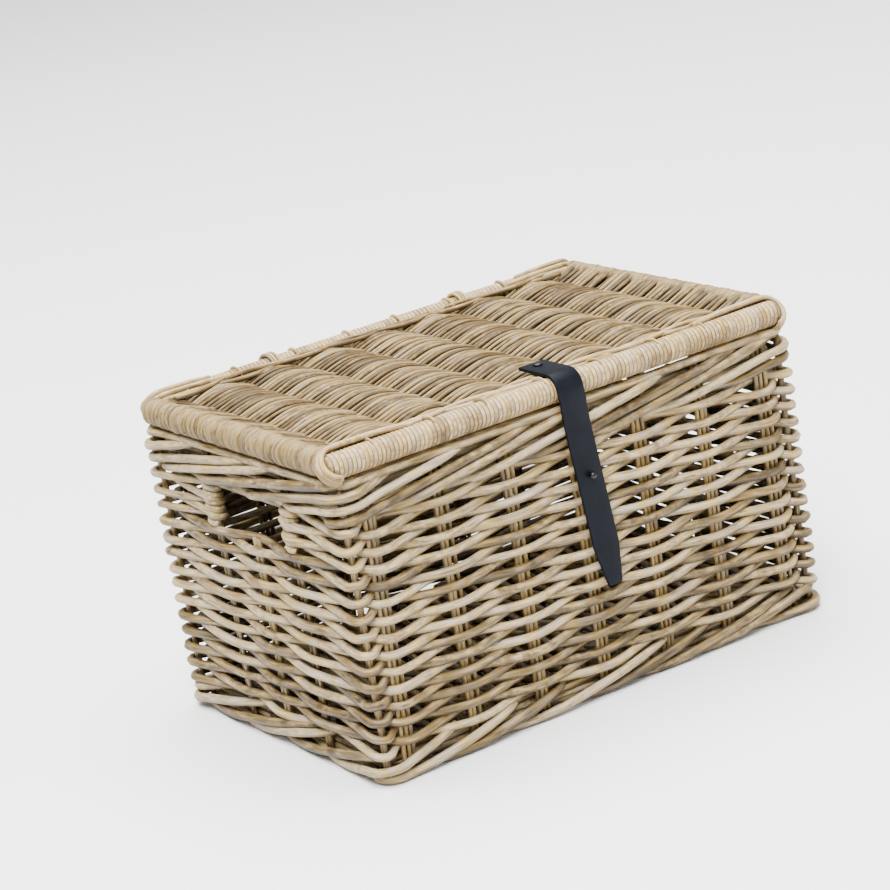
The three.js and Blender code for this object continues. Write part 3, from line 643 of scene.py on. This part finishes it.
for group in ("front_stake", "right_stake", "back_stake", "left_stake", "corner_post"):
    members = [i for i, name in enumerate(names) if name.startswith(group)]
    rods = [rod for i in members for rod in stake_rods(i)]
    finish = STAKE_RATTAN if group in ("front_stake", "back_stake") else WALL_RATTAN
    add_piece(group + "_rods", rods, "basket", [names[i] for i in members], finish)

# %% [markdown]
# ## The borders
#
# At the rim a strand comes out beside every stake, sweeps up along the outside over the next three, and
# tucks in under the lid, so the border is a row of slanting strands that overlap like shingles. Plain
# strands lie round inside it and close it to the hand. The foot has the same border, lower and flatter.
# Straight rings would miss the slant that the eye sees first, so a ring line gives the way round, and a
# strand is a few points on it: how far along, how far out and how high.

# %% Ring line
HALF_X, HALF_Y = 228.0, 148.0
RING_CORNER = 10.0


def ring_table():
    """The wall's line as a rounded rectangle: four straights and four quarter circles, with normals."""
    quarter = np.radians(np.linspace(0, 90, 13))
    angles = np.concatenate([np.radians(start) + quarter for start in (270, 0, 90, 180)])
    sign = np.repeat([[1, -1], [1, 1], [-1, 1], [-1, -1]], 13, axis=0)
    normal = np.column_stack([np.cos(angles), np.sin(angles)])
    inner = sign * [HALF_X - RING_CORNER, HALF_Y - RING_CORNER]
    place = inner + RING_CORNER * normal + [0, MID_Y]
    place, normal = np.vstack([place, place[:1]]), np.vstack([normal, normal[:1]])
    return lengths(place), place, normal


RUN, RING, RING_NORMAL = ring_table()
PERIMETER = RUN[-1]
CORNERS = RUN[[6, 19, 32, 45]]


def ring_points(s, out, z):
    """Points at distance s along the ring line, moved outwards and lifted. Corners push further out."""
    s = np.mod(s, PERIMETER)
    near = np.abs(s[:, None] - CORNERS[None])
    near = np.minimum(near, PERIMETER - near).min(1)
    out = np.asarray(out, float) + 3.0 * np.exp(-(near / 16) ** 2) * np.sign(out)
    base = np.column_stack([np.interp(s, RUN, RING[:, k]) for k in (0, 1)])
    normal = unit(np.column_stack([np.interp(s, RUN, RING_NORMAL[:, k]) for k in (0, 1)]))
    return np.column_stack([base + normal * np.asarray(out)[:, None], np.broadcast_to(z, len(s))])


print("the border line is", round(PERIMETER), "mm long")

# %% Strands of a border
SLANTS = 22
PITCH = PERIMETER / SLANTS
BORDER_STRAND = 4.0
SLANT_UNIT = 20


def slant(s, steps, out, heights):
    """One strand of a border: its points along, out and up are smoothed, then bent round the ring."""
    curve = np.column_stack([steps, np.array(out) / SLANT_UNIT, np.array(heights) / SLANT_UNIT])
    along, away, up = smooth_line(curve, 0.04)[0].T
    line, run = evenly(ring_points(s + along * PITCH, away * SLANT_UNIT, up * SLANT_UNIT), 4.0)
    taper = np.interp(run, [0, 30, run[-1] - 40, run[-1]], [0.9, 1, 1, 0.86])
    thick = BORDER_STRAND * rng.normal(1.0, 0.05) * (1 + uneven(run, 0.04, 220)) * taper
    return tube(line, thick, (0, 0, 1), strand_tones(1)[0] + uneven(run, 0.06, 200))


def border(steps, out, heights):
    """All strands of a border. One starts beside every stake, and its slope and end vary a little."""
    made = []
    grow = np.linspace(0, 1, len(steps)) ** 2
    for b in range(SLANTS):
        along = np.array(steps) + grow * rng.uniform(-0.5, 0.3)
        high = np.array(heights) + rng.uniform(-0.8, 0.8) + grow * rng.uniform(-2.0, 0.6)
        reach = np.array(out) + rng.uniform(-0.9, 0.9)
        made.append(slant(b * PITCH + rng.uniform(-9, 9), along, reach, high))
    return made


def rail(out, z, radius):
    """A strand that lies all the way round inside a border."""
    s = np.linspace(0, PERIMETER * 1.01, 120)
    line = ring_points(s, out + uneven(s, 0.5, 260), z + uneven(s, 0.5, 330))
    line, run = evenly(line, 6.0)
    return tube(line, radius, (0, 0, 1), rng.uniform(0.3, 0.8) + uneven(run, 0.08, 240))


print("a border has", SLANTS, "strands,", round(PITCH), "mm apart")

# %% Rim border
RIM_LOW = box_mm("rim_wale_1")[0, 2] + 2.6
RIM_STEPS = [-0.35, 0.0, 0.45, 1.0, 1.65, 2.3, 2.9, 3.35, 3.6]
RIM_OUT = [-6.0, -4.0, 4.5, 7.4, 7.6, 7.6, 6.8, 1.0, -4.0]
RIM_RISE = np.array([-5.0, -4.4, -1.6, 4.4, 11.0, 17.6, 23.6, 28.2, 29.4])
RIM_RAILS = (-8.0, -1.2, 5.6, 12.2, 18.8, 25.2)
rim = border(RIM_STEPS, RIM_OUT, RIM_LOW + RIM_RISE)
rim += [rail(-4.6, RIM_LOW + z, 3.4) for z in RIM_RAILS]
rim += [rail(0.4, RIM_LOW + 30.0, 3.0), rail(4.6, RIM_LOW + 28.6, 3.6)]
add_piece("rim_border", rim, "basket", [f"rim_wale_{k}" for k in (1, 2, 3)],
          WALL_RATTAN)

# %% Foot border and foot ring
FOOT_STEPS = [-0.4, -0.05, 0.4, 0.9, 1.4, 1.9, 2.4, 2.65]
FOOT_OUT = [-6.5, -3.0, 3.6, 7.0, 7.8, 7.4, 2.0, -4.0]
FOOT_HEIGHTS = [11.0, 7.6, 5.4, 7.0, 12.0, 17.8, 23.4, 25.6]
FOOT_RAILS = (10.5, 17.2, 23.8)
foot = border(FOOT_STEPS, FOOT_OUT, FOOT_HEIGHTS)
foot += [rail(-5.8, z, 3.3) for z in FOOT_RAILS]
add_piece("foot_border", foot, "basket", [f"foot_wale_{k}" for k in (1, 2, 3)],
          WALL_RATTAN)
around = np.linspace(0, PERIMETER * 1.02, 200)
sway = uneven(around, 1.0, 210)
line, run = evenly(ring_points(around, sway - 1.5, 3.65), 5.0)
foot_ring = [tube(line, 3.6, (0, 0, 1), 0.35 + uneven(run, 0.25, 300))]
add_piece("foot_ring_rattan", foot_ring, "basket", ["foot_ring"], WALL_RATTAN)

# %% [markdown]
# ## The lid
#
# The lid is a frame of four bars with seven ribs between its ends. Thin strands run along it, over one
# rib and under the next, and wind round the end bars, where they lie side by side and pale. Every second
# strand starts on top of the end bar and every other one under it. A flat panel with a weave in its bump
# would look dead at a low angle, so each strand is a tube that swings from rib to rib and lies wide on
# the crests.

# %% Lid weave
END_X, _, LID_Z = np.abs(middle("lid_left_bar"))
END_RADIUS = np.ptp(box_mm("lid_left_bar")[:, 2]) / 2
RIB_RADIUS = 4.5
RIB_NODES = [f"lid_rib_{i}" for i in range(1, 8)]
RIBS = np.array([middle(node)[0] for node in RIB_NODES])
LID_STRANDS = 78
LID_PITCH = 3.61
LID_STRAND = 1.95
LID_CLEAR = 0.2
END_TONE, FIELD_TONE = -0.26, 0.12


def lid_strand(j):
    """One strand of the lid: round the left end bar, over and under the ribs, round the right bar."""
    over = 1 if j % 2 == 0 else -1
    wrap = END_RADIUS + LID_STRAND + LID_CLEAR
    angle = np.radians(np.linspace(250, 90, 8) if over > 0 else np.linspace(15, 270, 11))
    left = np.column_stack([-END_X + wrap * np.cos(angle), wrap * np.sin(angle)])
    rise = over * np.where(np.arange(7) % 2 == 0, -1, 1) * (RIB_RADIUS + LID_STRAND + LID_CLEAR)
    right_end = np.column_stack([-left[::-1, 0], left[::-1, 1]])
    side = np.vstack([left, np.column_stack([RIBS, rise]), right_end])
    y = MID_Y + (j - (LID_STRANDS - 1) / 2) * LID_PITCH
    points = np.column_stack([side[:, 0], np.full(len(side), y), side[:, 1] + LID_Z])
    points = points + rng.normal(0, [0.0, 0.6, 0.4], points.shape) + [0.0, rng.normal(0, 0.3), 0.0]
    line, run = evenly(points, 4.0)
    tone = np.minimum(strand_tones(1)[0], 0.75) + uneven(run, 0.12, 220)
    tone = tone + np.where(np.abs(line[:, 0]) > END_X - 6.0, END_TONE, FIELD_TONE)
    thick = LID_STRAND * rng.normal(1.0, 0.08) * (1 + uneven(run, 0.05, 210))
    wide = 1.0 + 0.7 * np.clip((line[:, 2] - LID_Z) / 6.6, 0, 1) ** 2
    return tube(line, thick, (0, 1, 0), tone, 7, wide)


lid = [lid_strand(j) for j in range(LID_STRANDS)]
add_piece("lid_weave", lid, "lid", ["lid_weaver"], LID_RATTAN)

# %% [markdown]
# The ribs and the end bars under the weave show only in its gaps, so straight rods are enough. The end
# bars are the darkest, because the strands around them keep the light out.

# %% Lid ribs and end bars
def cross_rod(node, radius, sides):
    """A rod along Y in the place of a solid."""
    y = np.linspace(*box_mm(node)[:, 1], 40)
    line = np.column_stack([np.full(40, middle(node)[0]), y, LID_Z + uneven(y, 0.15, 200)])
    return tube(line, radius, (0, 0, 1), rng.uniform(0.2, 0.7), sides)


ribs = [cross_rod(node, RIB_RADIUS - 0.05, 12) for node in RIB_NODES]
add_piece("lid_ribs", ribs, "lid", RIB_NODES, STAKE_RATTAN)
END_NODES = ["lid_left_bar", "lid_right_bar"]
ends = [cross_rod(node, END_RADIUS - 0.1, 20) for node in END_NODES]
# painted shade: the end bars' tone is raised into the darker range, where the group darkens grooves
for rod in ends:
    rod["tone"] = rod["tone"] + 0.7
add_piece("lid_end_bars", ends, "lid", END_NODES, STAKE_RATTAN)

# %% [markdown]
# ## The wrapped long bars
#
# The bars along the front and the back of the lid are wound closely with rattan peel, the split outer
# skin. More than a hundred separate rings could be stacked on each bar, but the winding is a helix of
# rounded bands. So the bar is one surface of turning whose radius rises and falls with the distance
# along it plus a share of the turn.

# %% Wrapped bars
PEEL_PITCH = 4.1
BAR_RADIUS = 11.5
BAR_CORE, PEEL_BAND = BAR_RADIUS - 1.6, 1.2
BAR_CUT = {"front": (0.0, 8.0), "back": (10.0, 10.0)}


def wrapped_bar(node, cut):
    """r(x, a) = core + band * sqrt(1 - (2 f - 1)^2), where f is the fractional part of
    x / pitch + a / turn. The ends are rounded off."""
    low, high = box_mm(node)
    sides = 24
    x = np.arange(low[0] + cut[0], high[0] - cut[1], PEEL_PITCH / 9)
    warp = (x + uneven(x, 0.7, 90)) / PEEL_PITCH
    angle = 2 * np.pi * np.arange(sides) / sides
    wind = warp[:, None] + np.arange(sides)[None] / sides
    share = wind - np.floor(wind)
    dome = np.clip(np.minimum(x - x[0], x[-1] - x) / 5.0, 0, 1)
    end = 0.45 + 0.55 * np.sqrt(1 - (1 - dome) ** 2)
    radius = (BAR_CORE + PEEL_BAND * np.sqrt(1 - 0.98 * (2 * share - 1) ** 2)) * end[:, None]
    place = middle(node)
    line = np.column_stack([x, np.full(len(x), place[1]), np.full(len(x), place[2])])
    made = tube(line, 1.0, (0, 0, 1), 0.0, sides)
    turn_number = np.floor(wind - wind.min()).astype(int)
    palette = np.repeat(strand_tones(turn_number.max() // 4 + 2), 4)
    palette = 0.6 * palette + rng.uniform(-0.1, 0.1, len(palette))
    # painted shade: the tone is raised where two turns of peel meet, so the grooves between them are
    # darker
    groove_shade = np.clip(np.abs(2 * share - 1) * 4 - 3, 0, 1)
    made["grid"] = np.stack([
        np.broadcast_to(x[:, None], radius.shape),
        place[1] + radius * np.cos(angle),
        place[2] + radius * np.sin(angle)], -1)[:, ::-1]
    made["tone"] = (palette[turn_number] + 1.4 * groove_shade)[:, ::-1]
    return made


for side, cut in BAR_CUT.items():
    node = f"lid_{side}_bar"
    add_piece(node + "_peel", [wrapped_bar(node, cut)], "lid", [node], PEEL)

# %% [markdown]
# Between each long bar and the weave lie two loose edge strands that cross each other. They are stitched
# to the bar with peel every few centimetres, and at the corners strands curl round the end of the bar.
# Straight edge strands would look machine-made, so each is a wave with the step of the stitches.

# %% Edge strands and stitches
BAR_Y = abs(middle("lid_front_bar")[1] - MID_Y)
BAR_END = box_mm("lid_front_bar")[1, 0]
EDGE = 2.4
EDGE_OFF, EDGE_SWING = 17.0, 4.6
TIE_STEP = 57.0
TIES = np.arange(-196, 200, TIE_STEP)


def edge_strand(side, phase, height, reach):
    """A strand along a long bar that swings to the bar and away from it, with a small wobble."""
    x = np.linspace(-reach, reach, 60)
    wave = EDGE_SWING * np.cos(np.pi * (x - TIES[0]) / TIE_STEP + phase)
    y = MID_Y + side * (BAR_Y - EDGE_OFF + wave + uneven(x, 0.6, 160))
    line = np.column_stack([x, y, LID_Z + height + uneven(x, 0.7, 140)])
    line, run = evenly(line, 4.0)
    thick = EDGE * (1 + uneven(run, 0.05, 200))
    return tube(line, thick, (0, 0, 1), strand_tones(1)[0] + uneven(run, 0.1, 200))


def tie(side, x):
    """A stitch of peel from under the bar over the edge strand to the bar's top, where it goes under
    the winding: part of a circle round the bar with a bulge at the strand."""
    angle = np.radians(np.linspace(-60, 122, 30))
    bulge = 3.4 * np.exp(-((angle - 0.5) / 0.5) ** 2)
    radius = BAR_RADIUS + bulge - 1.6 * np.clip(angle - 1.5, 0, None) ** 2
    y = MID_Y + side * (BAR_Y - radius * np.cos(angle))
    line = np.column_stack([x + 3.0 * np.sin(angle), y, LID_Z + radius * np.sin(angle)])
    return tube(line, 2.1, (1, 0, 0), rng.uniform(0.1, 0.5), 8, 0.4)


print(len(TIES), "stitches on each long bar")

# %% Corner curls
CURL_TILT = np.radians(42)
CURL_BALL = 15.2
CURL_STRAND = 2.55


def corner_curl(side, hand, k):
    """A strand over a bar's end: part of a circle on a ball, from the bar's inner top to its outer
    underside, with a straight lead. Strands k = -1, 0, 1 lie side by side."""
    top = np.array([0, -side * np.sin(CURL_TILT), np.cos(CURL_TILT)])
    pole = np.array([hand, 0.0, 0.0])
    shift = 5.0 * k
    reach = np.sqrt(CURL_BALL ** 2 - shift ** 2)
    cut = BAR_CUT["front" if side < 0 else "back"][0 if hand < 0 else 1]
    heart = np.array([hand * (BAR_END - 10.0 - cut), MID_Y + side * BAR_Y, LID_Z])
    heart = heart + np.cross(top, pole) * hand * shift
    t = np.radians(np.linspace(0, 165, 10))[:, None]
    arc = heart + reach * (np.cos(t) * top + np.sin(t) * pole)
    lead = np.array([[64.0 - 14 * k, reach - 3.5], [40.0 - 9 * k, reach - 0.8], [18.0, reach]])
    start = heart + lead[:, 1:] * top - lead[:, :1] * pole
    line, run = evenly(np.vstack([start, arc]), 2.6)
    thick = CURL_STRAND * (1 + uneven(run, 0.04, 90))
    tone = strand_tones(1)[0] * 0.6 + uneven(run, 0.08, 120)
    return tube(line, thick, (0.3, 0.5, 0.2), tone)


edges = []
for side in (-1, 1):
    edges += [edge_strand(side, 0.0, 7.2, 205.0), edge_strand(side, np.pi, 8.4, 212.0)]
    edges += [corner_curl(side, hand, k) for hand in (-1, 1) for k in (-1, 0, 1)]
    edges += [tie(side, x + rng.uniform(-4, 4)) for x in TIES]
add_piece("lid_edge_strands", edges, "lid", [], PEEL)

# %% [markdown]
# ## The base
#
# The base is seen from below and through the open lid: stout sticks along the basket, and thick strands
# woven across them. A board would carry as much, but water has to run out of a bicycle basket, so it is
# woven as the walls are.

# %% Base
STICK_NODES = [f"base_stick_{i}" for i in range(1, 5)]
STICKS = np.array([middle(node)[1] for node in STICK_NODES])
STICK_RADIUS = 4.5
BASE_Z = middle("base_stick_1")[2]
BASE_STRANDS = 62
BASE_STRAND = 3.3
BASE_X = np.linspace(*(box_mm("base_stick_1")[:, 0] + [4, -4]), BASE_STRANDS)


def base_strand(j):
    """A strand across the base: over one stick, under the next, and round the outer ones."""
    over = 1 if j % 2 == 0 else -1
    wrap = STICK_RADIUS + BASE_STRAND + 0.1
    angle = np.radians(np.linspace(-30, 90, 4))
    across, up = wrap * np.cos(angle), wrap * np.sin(angle)
    start = np.column_stack([STICKS[0] - across, over * up])
    inner = np.column_stack([STICKS[1:-1], [-over * wrap, over * wrap]])
    end = np.column_stack([STICKS[-1] + across[::-1], -over * up[::-1]])
    side = np.vstack([start, inner, end])
    points = np.column_stack([np.full(len(side), BASE_X[j]), side[:, 0], BASE_Z + side[:, 1]])
    line = smooth_line(points + rng.normal(0, [0.3, 0, 0.1], points.shape), 6.0)[0]
    return tube(line, BASE_STRAND, (1, 0, 0), rng.beta(1.5, 1.8) * 0.8)


def base_stick(node, y):
    """A straight stick along the basket."""
    x = np.linspace(*box_mm(node)[:, 0], 50)
    line = np.column_stack([x, np.full(50, y), np.full(50, BASE_Z)])
    return tube(line, STICK_RADIUS - 0.05, (0, 0, 1), rng.uniform(0.2, 0.7), 12)


base = [base_strand(j) for j in range(BASE_STRANDS)]
add_piece("base_weave", base, "basket", ["base_weaver"], WALL_RATTAN)
sticks = [base_stick(node, y) for node, y in zip(STICK_NODES, STICKS)]
add_piece("base_sticks", sticks, "basket", STICK_NODES, STAKE_RATTAN)

# %% [markdown]
# ## Leather and metal
#
# The strap is thick, nearly black leather with a faint blue sheen. A picture of leather would fix the
# size of its grain, so the fine grain is a small Voronoi pattern in the bump, and a cloud of noise
# changes its colour and its sheen. The stud and the rivet are blackened metal.

# %% Leather and metal
def cloudy(name, scale, detail, dark, light, rough):
    """A finish whose colour and roughness follow one cloud of noise. Also gives its nodes."""
    material, tree, shader = new_finish(name)
    place = tree.nodes.new("ShaderNodeTexCoord").outputs["Object"]
    cloud = add_node(tree, "ShaderNodeTexNoise", {"Vector": place, "Scale": scale, "Detail": detail})
    cloud = cloud.outputs["Fac"]
    set_inputs(tree, shader, {
        "Base Color": mixed(tree, cloud, (*dark, 1), (*light, 1)),
        "Roughness": stretch(tree, cloud, 0.0, 1.0, *rough)})
    return material, tree, shader, place


LEATHER, tree, shader, place = cloudy(
    "strap_leather", 60.0, 4.0, (0.0024, 0.0031, 0.0047), (0.0064, 0.0081, 0.0122), (0.30, 0.48))
grain = add_node(tree, "ShaderNodeTexVoronoi", {"Vector": place, "Scale": 1400.0})
bump = add_node(tree, "ShaderNodeBump", {
    "Height": grain.outputs["Distance"], "Strength": 0.25, "Distance": 0.0002})
set_inputs(tree, shader, {"Normal": bump.outputs[0], "Specular IOR Level": 0.055})
METAL, tree, shader, place = cloudy(
    "dark_stud_metal", 900.0, 3.0, (0.014, 0.014, 0.016), (0.036, 0.036, 0.040), (0.16, 0.34))
set_inputs(tree, shader, {"Metallic": 0.9})
print("strap finishes", LEATHER.name, "and", METAL.name)

# %% [markdown]
# The strap is one band: it lies flat on the lid, folds over the front bar and hangs down to the stud,
# leaning a little to one side, and its tip is tapered. A ribbon with a Solidify modifier would have
# sharp edges, so its section is a rectangle with rounded edges, carried along the path of the strap seen
# from the side. It bends between the lid and the hanging end, so one piece follows both.

# %% Strap
STRAP_X, FOLD_REACH = -5.0, 163.85
FOLD = np.array([STRAP_X, MID_Y - FOLD_REACH, LID_Z])
STRAP_HALF = 13.0
STRAP_LIE = 38.0
STRAP_DROP = 178.0
SKIN = 1.5
LEAN = np.tan(np.radians(6.0))


def strap_path():
    """Side view of the strap from its lid end to its tip, and its half width at each sample."""
    bar_y = middle("lid_front_bar")[1]
    bend = np.radians(np.linspace(90, 180, 7))
    reach = BAR_RADIUS + 0.4 + SKIN
    over = np.column_stack([bar_y + reach * np.cos(bend), LID_Z + reach * np.sin(bend)])
    lie = [[bar_y + y, over[0, 1]] for y in (STRAP_LIE, 24.0, 10.0)]
    hang_y = FOLD[1] + 2.75
    drop = [[FOLD[1] + 0.5, LID_Z - 8.0], [FOLD[1] + 1.6, LID_Z - 18.0], [hang_y - 0.2, LID_Z - 32.0]]
    drop += [[hang_y, LID_Z - z] for z in (50.0, 90.0, 130.0, STRAP_DROP)]
    side = np.vstack([lie, over, drop])
    line = smooth_line(np.column_stack([np.zeros(len(side)), side]), 1.6)[0]
    down = np.maximum(LID_Z - line[:, 2], 0)
    line[:, 0] = FOLD[0] + down * LEAN
    half = np.interp(down, [0, 142, 176, STRAP_DROP], [STRAP_HALF, STRAP_HALF, 7.4, 6.4])
    return line, half


def band(line, half, thick, round_steps=4):
    """Rounded rectangle carried along a line: corners are quarter circles of the band's edge radius."""
    ahead = unit(np.gradient(line * [0, 1, 1], axis=0))
    face = np.column_stack([np.zeros(len(line)), -ahead[:, 2], ahead[:, 1]])
    edge = thick * 0.55
    angle = np.radians(np.linspace(0, 90, round_steps))
    corner = np.concatenate([angle + np.radians(a) for a in (0, 90, 180, 270)])
    sx = np.repeat([1, -1, -1, 1], round_steps)
    sz = np.repeat([1, 1, -1, -1], round_steps)
    width = sx[None] * (half[:, None] - edge) + edge * np.cos(corner)[None]
    depth = (sz * (thick - edge) + edge * np.sin(corner))[None] * np.ones((len(line), 1))
    grid = line[:, None] + width[..., None] * np.array([1.0, 0, 0]) + depth[..., None] * face[:, None]
    tone = np.zeros(grid.shape[:2])
    return {"grid": grid, "ends": line[[0, -1]], "tone": tone, "run": lengths(line)}


strap = add_piece("strap_band", [band(*strap_path(), SKIN)], None, ["strap_anchor", "strap_tail"],
                  LEATHER)
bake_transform(strap)

# %% [markdown]
# The lid hangs on two loops of rattan peel, each three turns wide, that go round its back bar and under
# the rim. A torus would not lie against both, so a turn is a line through the points where the peel
# bends.

# %% Hinge loops
LOOP_REACH = 13.9


def hinge_turn(node, k):
    """One turn of a hinge loop: over the back bar on an arc, down inside the rim, under it and up."""
    low, high = box_mm(node)
    bar_y = middle("lid_back_bar")[1]
    outer, under = high[1] - 1.4, low[2] + 1.4
    inner = 2 * (HALF_Y + MID_Y) - outer
    arc = np.radians(np.linspace(15, 215, 12))
    over = np.column_stack([bar_y + LOOP_REACH * np.cos(arc), LID_Z + LOOP_REACH * np.sin(arc)])
    rest = [[inner, under + 20], [inner, under + 4], [inner + 3, under], [(inner + outer) / 2, under],
            [outer - 3, under], [outer, under + 4], [outer, under + 20], [outer - 1, under + 33]]
    side = np.vstack([over, rest, over[:1]])
    x = middle(node)[0] + 3.3 * k + rng.uniform(-0.3, 0.3, len(side))
    line = smooth_line(np.column_stack([x, side]), 2.5)[0]
    return tube(line, 1.75, (1, 0, 0), strand_tones(1)[0] * 0.7, 8, 0.8)


for side in ("left", "right"):
    node = f"hinge_loop_{side}"
    turns = [hinge_turn(node, k) for k in (-1, 0, 1)]
    add_piece(node + "_peel", turns, "basket", [node], PEEL)

# %% [markdown]
# A rivet holds the strap on the lid, and its end buttons on a stud with a ball head. Balls and cylinders
# could be pushed together, but a profile turned round an axis has no seams.

# %% Stud and rivet
STUD_BALL, STUD_STEM = 3.3, 1.8
RIVET_HEAD, RIVET_STEM, RIVET_DOME = 4.5, 1.9, 1.4


def turned(profile, origin, axis, sides=32):
    """Surface of turning: each profile point (distance along the axis, radius) becomes a ring."""
    profile = np.array(profile, float)
    line = np.asarray(origin) + profile[:, :1] * np.asarray(axis, float)
    made = tube(line, 1.0, (1, 0, 0), 0.0, sides)
    spoke = made["grid"] - line[:, None]
    made["grid"] = line[:, None] + spoke * profile[:, 1][:, None, None]
    return made


def cap(start, steps, top, rise, wide):
    """Profile of a round cap: (top - rise + rise * sin a, wide * cos a) from angle start to the top."""
    a = np.radians(np.linspace(start, 88, steps))
    return np.column_stack([top - rise + rise * np.sin(a), wide * np.cos(a)])


low, high = box_mm("strap_stud")
ball = cap(-52, 15, high[1] - low[1], STUD_BALL, STUD_BALL)
stem = [[0.0, STUD_STEM], [6.0, STUD_STEM], [ball[0, 0] - 0.4, STUD_STEM]]
stud_at = [middle("strap_stud")[0], high[1], middle("strap_stud")[2]]
stud = turned(np.vstack([stem, ball]), stud_at, (0, -1, 0))
add_piece("stud_turned", [stud], "basket", ["strap_stud"], METAL)
low, high = box_mm("strap_rivet")
head = cap(0, 10, high[2] - low[2], RIVET_DOME, RIVET_HEAD)
stem = [[0.0, RIVET_STEM], [head[0, 0] - 0.3, RIVET_STEM], [head[0, 0] - 0.25, 4.2]]
rivet_at = [middle("strap_rivet")[0], middle("strap_rivet")[1], low[2]]
rivet = turned(np.vstack([stem, head]), rivet_at, (0, 0, 1))
add_piece("rivet_turned", [rivet], "lid", ["strap_rivet"], METAL)

# %% [markdown]
# ## Floor and light
#
# A pale floor and three soft lamps, as in a catalogue studio: a broad one overhead, the main one above
# and to the left, and a fill from the front right. One lamp alone would leave the weave's gaps black, so
# the world is bright too.

# %% Floor
SPAN = 12.0
floor_mesh = bpy.data.meshes.new("floor")
sheet = [(-SPAN, -SPAN, 0), (SPAN, -SPAN, 0), (SPAN, SPAN, 0), (-SPAN, SPAN, 0)]
floor_mesh.from_pydata(sheet, [], [(0, 1, 2, 3)])
floor = bpy.data.objects.new("floor", floor_mesh)
bpy.context.scene.collection.objects.link(floor)
paper, paper_tree, paper_shader = new_finish("pale_paper")
set_inputs(paper_tree, paper_shader, {"Base Color": (0.91, 0.91, 0.905, 1), "Roughness": 0.9})
floor_mesh.materials.append(paper)
print("floor", 2 * SPAN, "m wide")

# %% Lamps and world
def lamp(name, place, size, watts, aim=(0, 0, 0.15)):
    """A square area lamp at a place, turned towards the basket."""
    light = bpy.data.lights.new(name, "AREA")
    light.energy = watts
    light.size = size
    holder = bpy.data.objects.new(name, light)
    bpy.context.scene.collection.objects.link(holder)
    holder.location = place
    holder.rotation_euler = (Vector(aim) - Vector(place)).to_track_quat("-Z", "Y").to_euler()


lamp("ceiling", (0.0, 0.4, 4.6), 5.0, 1060.0)
lamp("main", (-1.6, -2.0, 2.6), 1.0, 160.0)
lamp("fill", (2.0, -2.9, 1.5), 1.6, 40.0)
world = bpy.data.worlds.new("studio")
bpy.context.scene.world = world
world.use_nodes = True
sky = world.node_tree.nodes["Background"]
set_inputs(world.node_tree, sky, {"Color": (1.0, 1.0, 1.0, 1), "Strength": 0.55})
